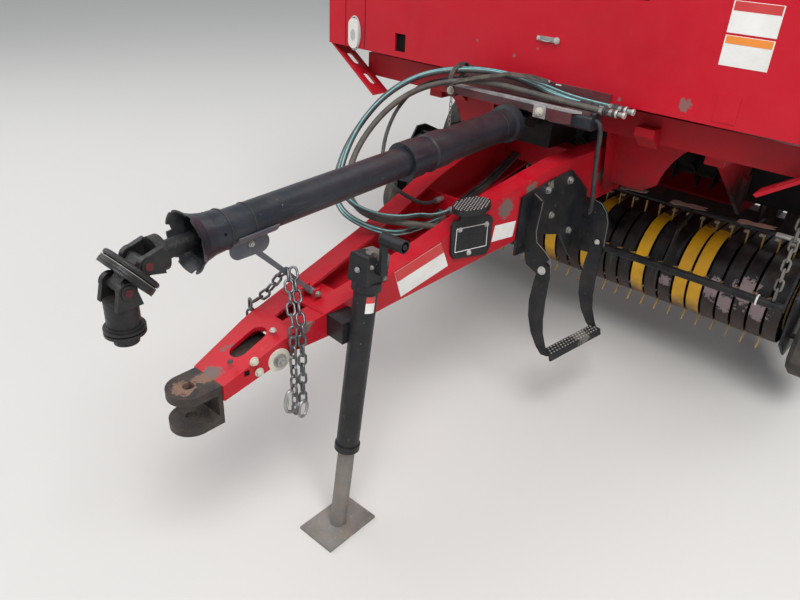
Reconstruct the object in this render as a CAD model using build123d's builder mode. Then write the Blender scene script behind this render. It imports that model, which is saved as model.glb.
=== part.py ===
from build123d import *
import math
import os

os.makedirs("parts", exist_ok=True)

# Frame: +Z up from the ground, +X to the machine's left, -Y forward to the towing end.
# Lengths are millimetres and angles are degrees.

# Overall places
AXLE_Y = 1100.0
TYRE_RADIUS = 475.0
WHEEL_X = 1010.0
WALL_X = 620.0
WALL_THICKNESS = 20.0
SHIELD_X = 1157.0
SHIELD_Y = -333.0
SHIELD_LOW_Z = 1230.0
SHEET = 10.0
FIT = 0.1
SEAT = 0.3
RUNNING_GAP = 8.0

# Drawbar
BEAM_START = (96.3, -1607.6)
BEAM_SLOPE = 0.0998
BEAM_FLANGE = 75.0
BEAM_WEB = 10.0
BEAM_END_S = 1640.0
HANGER_X = 266.0
BULKHEAD_Y = -790.0
BULKHEAD_Z = (745.0, 890.0)
NOSE_FRONT_Y = -1885.0
NOSE_REAR_Y = -1645.0
NOSE_WALL = 12.0
NOSE_SLOT_Y = -1745.0
NOSE_SLOT = (120.0, 56.0)
HITCH_WEB = 28.0
HITCH_Y = -1950.0
HITCH_BORE_R = 16.5
HITCH_EAR_R = 62.0
HITCH_TOP_Z = 648.0
HITCH_LOW_Z = 521.0
HITCH_EAR = 26.0

# Jack, which leans forward at the foot
JACK_X = 208.0
JACK_FOOT_Y = -1582.0
JACK_LEAN = 7.0
JACK_TUBE_R = 36.0
JACK_TUBE_BORE = 28.0
JACK_LEG_R = 27.0
JACK_TUBE_LOW = 300.0
JACK_TUBE_HIGH = 880.0
JACK_HEAD = 88.0
JACK_FOOT = (144.0, 207.0, 10.0)
CRANK_ARM = 100.0
CRANK_GRIP = 80.0
CRANK_GRIP_R = 19.0

# Folding step
STEP_PIN_R = 8.0

# Driveline
SHAFT_REAR = (0.0, -430.0, 1126.0)
SHAFT_DROP = 2.4
GUARD_REAR_R = 58.0
GUARD_FRONT_R = 48.0
GUARD_JOIN = 680.0
GUARD_FRONT_END = 1540.0
CROSS_1_AT = 1611.0
CROSS_2_STEP = (0.0, -58.0, -48.0)
YOKE_ARM = (30.0, 46.0)
PTO_BORE_R = 17.5
CROSS_PIN_R = 14.0
SHAFT_R = 24.0

REST_PIVOT = (0.0, -1500.0, 775.0)
REST_HUB = 20.0
REST_EAR = 8.0
REST_PIN_R = 6.0

# Pickup
REEL_Y = 300.0
REEL_Z = 450.0
BAND_R = 190.0
BAND_THICKNESS = 4.0
BAND_WIDTH = 54.0
BAND_PITCH = 65.0
BAND_COUNT = 31
TINE_TIP_R = 242.0
TINE_BAR_R = 110.0
TINE_ROWS = 5
TINE_R = 3.2
PICKUP_X = 1032.0
PICKUP_PLATE = 10.0
PICKUP_PIVOT_Y = 660.0
PICKUP_PIVOT_Z = 600.0
GUARD_BAR_Y = 250.0
GUARD_BAR_Z = 725.0
GUARD_TUBE_Y = 30.0
GUARD_TUBE_Z = 525.0
GAUGE_Y = 230.0
GAUGE_Z = 330.0
GAUGE_R = 150.0

# Tailgate
HINGE_Y = 720.0
HINGE_PIN_R = 20.0
HINGE_CLEAR_R = 85.0
GATE_TOP_Z = 2790.0
HINGE_Z = GATE_TOP_Z - 70.0
GATE_WALL_X = WALL_X - RUNNING_GAP
NET_BOX_REAR_Y = 2147.6
CYLINDER_X = 672.0
CYLINDER_PIN_R = 14.0
BARREL_PIN = (400.0, 1190.0)
ROD_PIN = (900.0, GATE_TOP_Z - 340.0)
PIVOT_PIN_R = 14.0

beam_direction = Vector(BEAM_SLOPE, 1.0, 0.0).normalized()
beam_normal = Vector(beam_direction.Y, -beam_direction.X, 0.0)
jack_up = Vector(0.0, math.sin(math.radians(JACK_LEAN)), math.cos(math.radians(JACK_LEAN)))
shaft_forward = Vector(
    0.0, -math.cos(math.radians(SHAFT_DROP)), -math.sin(math.radians(SHAFT_DROP))
)
shaft_rear = Vector(*SHAFT_REAR)
written = []


def beam_x(y, out=0.0):
    """The X of the near drawbar beam's outer face at a given Y."""
    return BEAM_START[0] + BEAM_SLOPE * (y - BEAM_START[1]) + out


def side_plane(x):
    """A sketch plane whose local axes are the machine's Y and Z."""
    return Plane.YZ.offset(x)


def save(piece, name):
    """Label one finished piece and write its STEP file."""
    piece.part.label = name
    export_step(piece.part, "parts/" + name + ".step")
    written.append(name)


# Drawbar: two channel beams that converge on the nose, a bulkhead and cross plates
beam_outline = [
    (-32.0, 668.0),
    (168.0, 673.0),
    (330.0, 692.0),
    (958.0, 751.0),
    (BEAM_END_S, 815.0),
    (BEAM_END_S, 1000.0),
    (BEAM_END_S - 40.0, 1023.0),
    (1164.0, 1006.0),
    (830.0, 941.0),
    (452.0, 834.0),
    (-32.0, 730.0),
]
beam_plane = Plane(
    origin=(BEAM_START[0], BEAM_START[1], 0.0), x_dir=beam_direction, z_dir=beam_normal
)
inner_plane = beam_plane.offset(-BEAM_FLANGE)
with BuildPart() as drawbar:
    with BuildSketch(beam_plane):
        with BuildLine():
            Polyline(*beam_outline, close=True)
        make_face()
    extrude(amount=-BEAM_FLANGE)
    with BuildSketch(inner_plane):
        with BuildLine():
            Polyline(*beam_outline, close=True)
        make_face()
        offset(amount=-BEAM_WEB, kind=Kind.INTERSECTION, mode=Mode.REPLACE)
    extrude(amount=BEAM_FLANGE - BEAM_WEB, mode=Mode.SUBTRACT)
    with BuildSketch(side_plane(beam_x(-104.0) - 30.0)):
        with Locations((-104.0, 900.0)):
            Circle(28.0)
    extrude(amount=HANGER_X - SEAT - beam_x(-104.0) + 30.0)
    mirror(about=Plane.YZ)
    with BuildSketch(Plane.XZ.offset(-NOSE_REAR_Y)):
        with Locations((0.0, 700.0)):
            Rectangle(2 * beam_x(NOSE_REAR_Y), 64.0)
    extrude(amount=-12.0)
    for plate_y, plate_length, plate_z in [(-1480.0, 130.0, 752.0), (-900.0, 140.0, 770.0)]:
        with BuildSketch(Plane.XY.offset(plate_z)):
            with Locations((0.0, plate_y)):
                Rectangle(2 * beam_x(plate_y) - 30.0, plate_length)
        extrude(amount=-10.0)
    for ear_x in (-REST_HUB - SEAT - REST_EAR, REST_HUB + SEAT):
        with BuildSketch(side_plane(ear_x)):
            with BuildLine():
                Polyline((REST_PIVOT[1] - 16.0, 748.0), (REST_PIVOT[1] - 12.0, 790.0),
                         (REST_PIVOT[1] + 12.0, 790.0), (REST_PIVOT[1] + 16.0, 748.0), close=True)
            make_face()
            with Locations((REST_PIVOT[1], REST_PIVOT[2])):
                Circle(REST_PIN_R + FIT, mode=Mode.SUBTRACT)
        extrude(amount=REST_EAR)
    with BuildSketch(Plane.XZ.offset(-BULKHEAD_Y)):
        with Locations((0.0, (BULKHEAD_Z[0] + BULKHEAD_Z[1]) / 2)):
            Rectangle(2 * beam_x(BULKHEAD_Y, -4.0), BULKHEAD_Z[1] - BULKHEAD_Z[0])
    extrude(amount=-10.0)
    with BuildSketch(side_plane(-beam_x(-100.0, -12.0))):
        with Locations((-100.0, 915.0)):
            Rectangle(80.0, 100.0)
    extrude(amount=2 * beam_x(-100.0, -12.0))
save(drawbar, "drawbar")

# Nose: a tapered channel bolted in front of the beams
NOSE_LOW_Z = 590.0
NOSE_TOP_Z = 732.0
NOSE_BEND = (-1700.0, NOSE_TOP_Z - 16.0)
nose_roof = [
    (NOSE_FRONT_Y, NOSE_LOW_Z + 8.0),
    (NOSE_REAR_Y, NOSE_TOP_Z - 68.0),
    (NOSE_REAR_Y, NOSE_TOP_Z),
    NOSE_BEND,
    (NOSE_FRONT_Y, HITCH_TOP_Z),
]
with BuildPart() as hitch_nose:
    with BuildSketch(Plane.XY.offset(NOSE_LOW_Z)):
        with BuildLine():
            Polyline(
                (-beam_x(NOSE_FRONT_Y), NOSE_FRONT_Y),
                (beam_x(NOSE_FRONT_Y), NOSE_FRONT_Y),
                (beam_x(NOSE_REAR_Y), NOSE_REAR_Y),
                (-beam_x(NOSE_REAR_Y), NOSE_REAR_Y),
                close=True,
            )
        make_face()
    extrude(amount=160.0)
    with BuildSketch(side_plane(-150.0)):
        with BuildLine():
            Polyline(*nose_roof, close=True)
        make_face()
    extrude(amount=300.0, mode=Mode.INTERSECT)
    with BuildSketch(side_plane(-(beam_x(NOSE_FRONT_Y) - NOSE_WALL))):
        with BuildLine():
            Polyline(
                (NOSE_FRONT_Y + NOSE_WALL, NOSE_LOW_Z),
                (NOSE_REAR_Y + 1.0, NOSE_LOW_Z),
                (NOSE_REAR_Y + 1.0, NOSE_TOP_Z - NOSE_WALL),
                (NOSE_BEND[0], NOSE_BEND[1] - NOSE_WALL),
                (NOSE_FRONT_Y + NOSE_WALL, HITCH_TOP_Z - NOSE_WALL),
                close=True,
            )
        make_face()
    extrude(amount=2 * (beam_x(NOSE_FRONT_Y) - NOSE_WALL), mode=Mode.SUBTRACT)
    with BuildSketch(Plane.XY.offset(600.0)):
        with Locations((0.0, NOSE_SLOT_Y)):
            SlotOverall(NOSE_SLOT[0], NOSE_SLOT[1], rotation=90.0)
    extrude(amount=200.0, mode=Mode.SUBTRACT)
save(hitch_nose, "hitch_nose")

# Hitch: two ears with one vertical bore, on a web plate against the nose
with BuildPart() as hitch_clevis:
    with BuildSketch(Plane.XY.offset(HITCH_LOW_Z)):
        with Locations((0.0, HITCH_Y)):
            Circle(HITCH_EAR_R)
        with Locations((0.0, (HITCH_Y + NOSE_FRONT_Y) / 2)):
            Rectangle(2 * HITCH_EAR_R, NOSE_FRONT_Y - HITCH_Y)
        with Locations((0.0, HITCH_Y)):
            Circle(HITCH_BORE_R, mode=Mode.SUBTRACT)
    extrude(amount=HITCH_TOP_Z - HITCH_LOW_Z)
    with BuildSketch(side_plane(-100.0)):
        block_y = (HITCH_Y - HITCH_EAR_R + NOSE_FRONT_Y - HITCH_WEB) / 2
        with Locations((block_y, (HITCH_TOP_Z + HITCH_LOW_Z) / 2)):
            Rectangle(
                NOSE_FRONT_Y - HITCH_WEB - HITCH_Y + HITCH_EAR_R,
                HITCH_TOP_Z - HITCH_LOW_Z - 2 * HITCH_EAR,
            )
        with Locations((NOSE_FRONT_Y - HITCH_WEB, (HITCH_TOP_Z + HITCH_LOW_Z) / 2)):
            Circle((HITCH_TOP_Z - HITCH_LOW_Z) / 2 - HITCH_EAR)
    extrude(amount=200.0, mode=Mode.SUBTRACT)
    with BuildSketch(Plane.XY.offset(HITCH_LOW_Z)):
        with Locations((0.0, NOSE_FRONT_Y - HITCH_WEB / 4)):
            Rectangle(2 * HITCH_EAR_R, HITCH_WEB / 2)
    extrude(amount=HITCH_TOP_Z - HITCH_LOW_Z)
save(hitch_clevis, "hitch_clevis")

# Main frame: cross-beam, side rails, axle legs, axle and the drawbar's hangers
RAIL_X = (WALL_X, WALL_X + 70.0)
CROSS_Y = (-223.0, -123.0)
CROSS_Z = (1098.0, 1198.0)
AXLE_Z = TYRE_RADIUS
AXLE_BEAM = 100.0
SPINDLE_R = 32.0
HUB_X = WHEEL_X - 250.0
with BuildPart() as main_frame:
    with BuildSketch(side_plane(-1000.0)):
        with Locations(((CROSS_Y[0] + CROSS_Y[1]) / 2, (CROSS_Z[0] + CROSS_Z[1]) / 2)):
            Rectangle(CROSS_Y[1] - CROSS_Y[0], CROSS_Z[1] - CROSS_Z[0])
    extrude(amount=2000.0)
    with BuildSketch(side_plane(RAIL_X[0])):
        with BuildLine():
            Polyline(
                (CROSS_Y[1], 1040.0),
                (AXLE_Y - 110.0, 1040.0),
                (AXLE_Y - 60.0, AXLE_Z - 50.0),
                (AXLE_Y + 60.0, AXLE_Z - 50.0),
                (AXLE_Y + 90.0, 1120.0),
                (CROSS_Y[1], 1120.0),
                close=True,
            )
        make_face()
    extrude(amount=RAIL_X[1] - RAIL_X[0])
    with BuildSketch(side_plane(RAIL_X[1])):
        with BuildLine():
            Polyline((PICKUP_PIVOT_Y - 60.0, 1060.0), (PICKUP_PIVOT_Y - 35.0, PICKUP_PIVOT_Z - 30.0),
                     (PICKUP_PIVOT_Y + 35.0, PICKUP_PIVOT_Z - 30.0), (PICKUP_PIVOT_Y + 60.0, 1060.0),
                     close=True)
        make_face()
        with Locations((PICKUP_PIVOT_Y, PICKUP_PIVOT_Z)):
            Circle(PIVOT_PIN_R + FIT, mode=Mode.SUBTRACT)
    extrude(amount=12.0)
    with BuildSketch(side_plane(CYLINDER_X - 30.0)):
        with BuildLine():
            Polyline((BARREL_PIN[0] - 50.0, 1110.0), (BARREL_PIN[0] - 25.0, BARREL_PIN[1] + 28.0),
                     (BARREL_PIN[0] + 25.0, BARREL_PIN[1] + 28.0), (BARREL_PIN[0] + 50.0, 1110.0),
                     close=True)
        make_face()
        with Locations(BARREL_PIN):
            Circle(CYLINDER_PIN_R + FIT, mode=Mode.SUBTRACT)
    extrude(amount=12.0)
    with BuildSketch(side_plane(HANGER_X)):
        with BuildLine():
            Polyline((-160.0, 850.0), (20.0, 850.0), (20.0, 1040.0), (-123.0, CROSS_Z[0] + 40.0),
                     (-223.0, CROSS_Z[0] + 40.0), close=True)
        make_face()
    extrude(amount=14.0)
    with BuildSketch(Plane.XZ.offset(-CROSS_Y[1])):
        with BuildLine():
            Polyline((HANGER_X, CROSS_Z[0] + 10.0), (HANGER_X, 880.0), (415.0, 880.0), (470.0, 915.0))
            Spline((470.0, 915.0), (505.0, 1010.0), (600.0, CROSS_Z[0] + 10.0))
            Line((600.0, CROSS_Z[0] + 10.0), (HANGER_X, CROSS_Z[0] + 10.0))
        make_face()
    extrude(amount=12.0)
    with BuildSketch(side_plane(400.0)):
        with BuildLine():
            Polyline((CROSS_Y[0] + 2.0, CROSS_Z[0] + 60.0), (CROSS_Y[0] - 60.0, CROSS_Z[0] + 60.0),
                     (CROSS_Y[0] - 60.0, CROSS_Z[0] + 30.0), (CROSS_Y[0] + 2.0, CROSS_Z[0] - 20.0), close=True)
        make_face()
    extrude(amount=75.0)
    mirror(about=Plane.YZ)
    with BuildSketch(Plane.XY.offset(1098.0)):
        with Locations((970.0, (CROSS_Y[1] + 3.0) / 2)):
            Rectangle(30.0, 3.0 - CROSS_Y[1])
    extrude(amount=10.0)
    with BuildSketch(side_plane(-HUB_X + 30.0)):
        with Locations((AXLE_Y, AXLE_Z)):
            Rectangle(AXLE_BEAM, AXLE_BEAM)
    extrude(amount=2 * (HUB_X - 30.0))
    with BuildSketch(side_plane(-WHEEL_X + 60.0)):
        with Locations((AXLE_Y, AXLE_Z)):
            Circle(SPINDLE_R)
    extrude(amount=2 * (WHEEL_X - 60.0))
save(main_frame, "main_frame")

# Rollers whose bearings show on the walls, the feed rotor in the throat, and the walls' ribs
ROLLER_PLACES = [(-20.0, 1420.0), (-20.0, GATE_TOP_Z - 820.0), (330.0, GATE_TOP_Z - 335.0), (470.0, 960.0)]
ROLLER_BEARING_R = 46.0
ROLLER_BEARING = 12.0
ROTOR = (545.0, 870.0)
ROTOR_R = 80.0
ROTOR_TIP_R = 145.0
ROTOR_SHAFT_R = 24.0
ROTOR_PLATES = 12
ROTOR_PITCH = 92.0
WALL_RIBS = [
    ((60.0, 1330.0), (500.0, 1330.0)),
    ((60.0, 1700.0), (560.0, 1700.0)),
    ((120.0, 2050.0), (580.0, 2050.0)),
]
RIB_WIDTH = 60.0
RIB_HEIGHT = 14.0
HINGE_BOSS = 16.0
SHIELD_TOP_Z = GATE_TOP_Z - 890.0

# Fixed chamber walls, with the parting line to the tailgate along their rear
WALL_FRONT_Y = -110.0
WALL_FOOT = (600.0, 640.0)
ROOF_MIDDLE = (300.0, GATE_TOP_Z - 110.0)
ROOF_LOW = (-60.0, GATE_TOP_Z - 440.0)
front_wall = [
    WALL_FOOT,
    (430.0, WALL_FOOT[1] + 120.0),
    (WALL_FRONT_Y, 1130.0),
    (WALL_FRONT_Y, CROSS_Z[1]),
    (SHIELD_Y + SHEET, SHIELD_LOW_Z + 20.0),
    (SHIELD_Y + SHEET, SHIELD_TOP_Z - 32.0),
    ROOF_LOW,
    ROOF_MIDDLE,
    (HINGE_Y - 20.0, GATE_TOP_Z - 10.0),
    (HINGE_Y - 80.0, 1200.0),
]
with BuildPart() as chamber_walls:
    with BuildSketch(side_plane(WALL_X - WALL_THICKNESS)):
        with BuildLine():
            Polyline(*front_wall, close=True)
        make_face()
        with Locations((HINGE_Y, HINGE_Z)):
            Circle(HINGE_CLEAR_R, mode=Mode.SUBTRACT)
    extrude(amount=WALL_THICKNESS)
    with BuildSketch(side_plane(WALL_X)):
        with Locations((HINGE_Y, HINGE_Z)):
            Circle(45.0)
        with Locations((HINGE_Y - 90.0, HINGE_Z - 20.0)):
            Rectangle(180.0, 60.0)
        with Locations((HINGE_Y, HINGE_Z)):
            Circle(HINGE_PIN_R + FIT, mode=Mode.SUBTRACT)
    extrude(amount=HINGE_BOSS)
    with BuildSketch(side_plane(WALL_X)):
        with Locations(*ROLLER_PLACES, ROTOR):
            Circle(ROLLER_BEARING_R)
    extrude(amount=ROLLER_BEARING)
    with BuildSketch(side_plane(WALL_X - WALL_THICKNESS)):
        with Locations(ROTOR):
            Circle(ROTOR_SHAFT_R + FIT)
    extrude(amount=WALL_THICKNESS + ROLLER_BEARING, mode=Mode.SUBTRACT)
    for rib_low, rib_high in WALL_RIBS:
        rib = Vector(0.0, rib_high[0] - rib_low[0], rib_high[1] - rib_low[1])
        rib_plane = Plane(origin=(WALL_X, rib_low[0], rib_low[1]), x_dir=rib.normalized(), z_dir=(1.0, 0.0, 0.0))
        with BuildSketch(rib_plane):
            with Locations((rib.length / 2, 0.0)):
                Rectangle(rib.length, RIB_WIDTH)
        extrude(amount=RIB_HEIGHT)
    mirror(about=Plane.YZ)
save(chamber_walls, "chamber_walls")

# Feed rotor: a drum with star plates between the walls, on a shaft in their bores
with BuildPart() as feed_rotor:
    for rotor_r, half_length in [
        (ROTOR_R, WALL_X - WALL_THICKNESS - 16.0),
        (ROTOR_SHAFT_R, WALL_X + ROLLER_BEARING),
    ]:
        with BuildSketch(side_plane(-half_length)):
            with Locations(ROTOR):
                Circle(rotor_r)
        extrude(amount=2 * half_length)
    for number in range(ROTOR_PLATES):
        plate_x = (number - (ROTOR_PLATES - 1) / 2) * ROTOR_PITCH
        star = []
        for corner in range(8):
            star_r = ROTOR_R if corner % 2 else ROTOR_TIP_R
            star_turn = math.radians(corner * 45.0 + (number % 2) * 45.0)
            star.append((ROTOR[0] + star_r * math.cos(star_turn), ROTOR[1] + star_r * math.sin(star_turn)))
        with BuildSketch(side_plane(plate_x - 4.0)):
            with BuildLine():
                Polyline(*star, close=True)
            make_face()
        extrude(amount=8.0)
save(feed_rotor, "feed_rotor")

# Feed plates: black sheets beside the throat that hang from the rails
FEED_PLATE_Y = 560.0
FEED_PLATE_Z = (725.0, 1040.0 - SEAT)
with BuildPart() as feed_plates:
    with BuildSketch(Plane.XZ.offset(-FEED_PLATE_Y)):
        with BuildLine():
            Polyline((WALL_X + ROLLER_BEARING + 2.0, FEED_PLATE_Z[1]), (PICKUP_X - 12.0, FEED_PLATE_Z[1]),
                     (PICKUP_X - 12.0, FEED_PLATE_Z[0] + 70.0), (PICKUP_X - 72.0, FEED_PLATE_Z[0]),
                     (WALL_X + ROLLER_BEARING + 2.0, FEED_PLATE_Z[0]), close=True)
        make_face()
    extrude(amount=-SHEET)
    with BuildSketch(Plane.XY.offset(FEED_PLATE_Z[1] - SHEET)):
        with Locations((WALL_X + 36.0, FEED_PLATE_Y + 40.0)):
            Rectangle(44.0, 80.0)
    extrude(amount=SHEET)
    mirror(about=Plane.YZ)
save(feed_plates, "feed_plates")

# Roof of the fixed chamber, between the walls
roof_line = [
    (-250.0, GATE_TOP_Z - 780.0),
    (ROOF_LOW[0] + 8.0, ROOF_LOW[1] - 7.0),
    (ROOF_MIDDLE[0], ROOF_MIDDLE[1] - 14.0),
    (HINGE_Y - 100.0, GATE_TOP_Z - 34.0),
]
with BuildPart() as chamber_roof:
    with BuildSketch(side_plane(-(WALL_X - WALL_THICKNESS))):
        with BuildLine():
            Polyline(*roof_line, *[(y, z - SHEET) for y, z in reversed(roof_line)], close=True)
        make_face()
    extrude(amount=2 * (WALL_X - WALL_THICKNESS))
    for share in (0.25, 0.5, 0.75):
        rib_y = ROOF_LOW[0] + 8.0 + share * (ROOF_MIDDLE[0] - ROOF_LOW[0] - 8.0)
        rib_z = ROOF_LOW[1] - 7.0 + share * (ROOF_MIDDLE[1] - ROOF_LOW[1] - 7.0)
        roof_run = Vector(0.0, ROOF_MIDDLE[0] - ROOF_LOW[0] - 8.0, ROOF_MIDDLE[1] - ROOF_LOW[1] - 7.0)
        roof_slope = roof_run.normalized()
        rib_plane = Plane(origin=(0.0, rib_y, rib_z), x_dir=(1.0, 0.0, 0.0),
                          z_dir=(0.0, -roof_slope.Z, roof_slope.Y))
        with BuildSketch(rib_plane.offset(-SHEET / 2)):
            Rectangle(2 * (WALL_X - WALL_THICKNESS) - 60.0, 50.0)
        extrude(amount=SHEET / 2 + RIB_HEIGHT)
save(chamber_roof, "chamber_roof")

# Front shield: the full-width panel over the drawbar, with its sloped top and cheeks
SHIELD_BACK_Y = -165.0
SHIELD_CROWN_Z = GATE_TOP_Z - 600.0
SHIELD_CORNER_R = 90.0
with BuildPart() as front_shield:
    with BuildSketch(side_plane(-SHIELD_X)):
        with BuildLine():
            Polyline((SHIELD_Y, SHIELD_LOW_Z), (SHIELD_Y, SHIELD_TOP_Z), (SHIELD_BACK_Y, SHIELD_CROWN_Z),
                     (SHIELD_BACK_Y, SHIELD_LOW_Z), close=True)
        make_face()
    extrude(amount=2 * SHIELD_X)
    crown_edges = front_shield.edges().filter_by(Axis.X).sort_by(Axis.Y)[0:2].sort_by(Axis.Z)[-1:]
    fillet(crown_edges, radius=SHIELD_CORNER_R)
    with BuildSketch(Plane.XZ.offset(-SHIELD_Y)):
        with BuildLine():
            Polyline((-SHIELD_X, SHIELD_LOW_Z), (-SHIELD_X, SHIELD_CROWN_Z - 190.0),
                     (-SHIELD_X + 170.0, SHIELD_CROWN_Z),
                     (SHIELD_X - 170.0, SHIELD_CROWN_Z), (SHIELD_X, SHIELD_CROWN_Z - 190.0),
                     (SHIELD_X, SHIELD_LOW_Z),
                     close=True)
        make_face()
    extrude(amount=SHIELD_Y - SHIELD_BACK_Y, mode=Mode.INTERSECT)
    hollow_faces = front_shield.faces().sort_by(Axis.Y)[-1:] + front_shield.faces().sort_by(Axis.Z)[:1]
    offset(amount=-SHEET, openings=hollow_faces, kind=Kind.INTERSECTION)
    for slot_x in (-709.0, 709.0):
        with BuildSketch(Plane.XZ.offset(-SHIELD_Y)):
            with Locations((slot_x, SHIELD_LOW_Z + 61.0)):
                Rectangle(60.0, 75.0)
        extrude(amount=-SHEET, mode=Mode.SUBTRACT)
    with BuildSketch(Plane.XZ.offset(-SHIELD_Y)):
        with Locations(*[(0.0, SHIELD_TOP_Z - 130.0 - step * 60.0) for step in range(4)]):
            SlotOverall(760.0, 22.0)
    extrude(amount=-SHEET, mode=Mode.SUBTRACT)
save(front_shield, "front_shield")

# Lower shields: sloped plates under the corners of the front shield
LOWER_SHIELD_DEPTH = 95.0
with BuildPart() as lower_shields:
    with BuildSketch(Plane.XZ.offset(-(SHIELD_Y + SHEET))):
        with BuildLine():
            Polyline((SHIELD_X, SHIELD_LOW_Z), (SHIELD_X - 14.0, SHIELD_LOW_Z), (860.0, 1040.0),
                     (872.0, 1032.0), close=True)
        make_face()
    extrude(amount=-LOWER_SHIELD_DEPTH)
    with BuildSketch(Plane.XY.offset(1000.0)):
        with Locations(*[(x, SHIELD_Y + SHEET + LOWER_SHIELD_DEPTH / 2) for x in (945.0, 1055.0)]):
            SlotOverall(70.0, 34.0)
    extrude(amount=300.0, mode=Mode.SUBTRACT)
    mirror(about=Plane.YZ)
save(lower_shields, "lower_shields")

# Hose tray
TRAY_Z = 1203.0
TRAY_SHEET = 8.0
HOSE_END_Z = 1226.0
HOSE_R = 11.0
HOSE_SMALL_R = 9.0
CABLE_R = 7.0
TRAY_FRONT_Y = -480.0
TRAY_BOSSES = [(-300.0, 26.0), (112.0, 24.0)]
TRAY_BOSS_Z = 1184.0
with BuildPart() as hose_tray:
    with BuildSketch(Plane.XY.offset(TRAY_Z)):
        with BuildLine():
            Polyline((-350.0, SHIELD_Y), (-350.0, TRAY_FRONT_Y), (240.0, TRAY_FRONT_Y),
                     (310.0, TRAY_FRONT_Y + 50.0),
                     (310.0, SHIELD_Y), close=True)
        make_face()
    extrude(amount=TRAY_SHEET)
    with BuildSketch(Plane.XY.offset(TRAY_Z)):
        with Locations((250.0, -405.0)):
            Rectangle(100.0, 110.0)
    extrude(amount=HOSE_END_Z - HOSE_R - SEAT - TRAY_Z)
    with BuildSketch(Plane.XZ.offset(-SHIELD_Y)):
        with Locations((-20.0, TRAY_Z + 30.0)):
            Rectangle(660.0, 60.0)
    extrude(amount=8.0)
    with BuildSketch(Plane.XZ.offset(-TRAY_FRONT_Y)):
        with BuildLine():
            Polyline((-345.0, TRAY_Z + 2.0), (-330.0, TRAY_Z - 22.0), (-240.0, TRAY_Z - 30.0),
                     (60.0, TRAY_Z - 26.0),
                     (160.0, TRAY_Z - 46.0), (240.0, TRAY_Z - 40.0), (240.0, TRAY_Z + 2.0), close=True)
        make_face()
    extrude(amount=-8.0)
    for boss_x, boss_r in TRAY_BOSSES:
        with BuildSketch(Plane.XZ.offset(-TRAY_FRONT_Y)):
            with Locations((boss_x, TRAY_BOSS_Z)):
                Circle(boss_r)
        extrude(amount=-40.0)
save(hose_tray, "hose_tray")

# Rubber block under the tray's near end
with BuildPart() as tray_block:
    with BuildSketch(side_plane(150.0)):
        with Locations((TRAY_FRONT_Y + 48.0, TRAY_Z - 26.0 - SEAT)):
            RectangleRounded(76.0, 52.0, 12.0)
    extrude(amount=165.0)
save(tray_block, "tray_block")

# Jack
jack_foot = Vector(JACK_X, JACK_FOOT_Y, JACK_FOOT[2])


def jack_plane(distance):
    """A plane across the jack at a distance up its tube from the foot plate."""
    return Plane(
        origin=jack_foot + jack_up * distance, x_dir=(1.0, 0.0, 0.0), z_dir=jack_up
    )


with BuildPart() as jack_tube:
    with BuildSketch(jack_plane(JACK_TUBE_LOW)):
        Circle(JACK_TUBE_R)
    extrude(amount=JACK_TUBE_HIGH - JACK_TUBE_LOW)
    with BuildSketch(beam_plane):
        with Locations((114.0, 715.0)):
            Rectangle(80.0, 70.0)
    extrude(amount=JACK_X - beam_x(JACK_FOOT_Y) - JACK_TUBE_R + 2.0)
    with BuildSketch(jack_plane(JACK_TUBE_LOW)):
        Circle(JACK_TUBE_BORE)
    extrude(amount=JACK_TUBE_HIGH - JACK_TUBE_LOW, mode=Mode.SUBTRACT)
    with BuildSketch(jack_plane(JACK_TUBE_HIGH)):
        Rectangle(JACK_HEAD - 16.0, JACK_HEAD)
    extrude(amount=JACK_HEAD)
    fillet(jack_tube.faces().sort_by(Axis.Z)[-1].edges(), radius=14.0)
    with BuildSketch(jack_plane(JACK_TUBE_HIGH - 26.0)):
        Circle(JACK_TUBE_R + 8.0)
        Circle(JACK_TUBE_R - 2.0, mode=Mode.SUBTRACT)
    extrude(amount=26.0)
    with BuildSketch(jack_plane(JACK_TUBE_LOW)):
        Circle(JACK_TUBE_R + 4.0)
        Circle(JACK_TUBE_BORE, mode=Mode.SUBTRACT)
    extrude(amount=22.0)
save(jack_tube, "jack_tube")

with BuildPart() as jack_leg:
    with BuildSketch(Plane.XY):
        with Locations((JACK_X, JACK_FOOT_Y)):
            Rectangle(JACK_FOOT[0], JACK_FOOT[1])
    extrude(amount=JACK_FOOT[2])
    with BuildSketch(jack_plane(-4.0)):
        Circle(JACK_LEG_R)
    extrude(amount=JACK_TUBE_LOW + 200.0)
save(jack_leg, "jack_leg")

# Crank: a boss on the gear head's outer side, the arm and a tube grip
crank_centre = jack_foot + jack_up * (JACK_TUBE_HIGH + JACK_HEAD / 2)
crank_x = JACK_X + JACK_HEAD / 2 - 8.0 + SEAT
crank_plane = Plane(
    origin=(crank_x, crank_centre.Y, crank_centre.Z), x_dir=(0.0, 1.0, 0.0), z_dir=(1.0, 0.0, 0.0)
)
with BuildPart() as jack_crank:
    with BuildSketch(crank_plane):
        Circle(14.0)
    extrude(amount=22.0)
    with BuildSketch(crank_plane.offset(12.0)):
        with Locations((0.0, CRANK_ARM / 2)):
            SlotOverall(CRANK_ARM + 24.0, 24.0, rotation=90.0)
    extrude(amount=10.0)
    with BuildSketch(crank_plane.offset(12.0)):
        with Locations((0.0, CRANK_ARM)):
            Circle(CRANK_GRIP_R)
            Circle(CRANK_GRIP_R - 4.0, mode=Mode.SUBTRACT)
            Circle(8.0)
    extrude(amount=CRANK_GRIP)
save(jack_crank, "jack_crank")

# Step bracket: a plate on the near beam and two flanges that carry the folding step.
# The flanges and the step share one line of pins, which falls a little towards the rear.
STEP_PLATE = 10.0
STEP_FLANGE = 10.0
step_front = Vector(305.0, -620.0, 655.0)
step_along = Vector(26.0, 390.0, -28.0).normalized()
step_out = Vector(step_along.Y, -step_along.X, 0.0).normalized()
STEP_SPAN = 381.0


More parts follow.
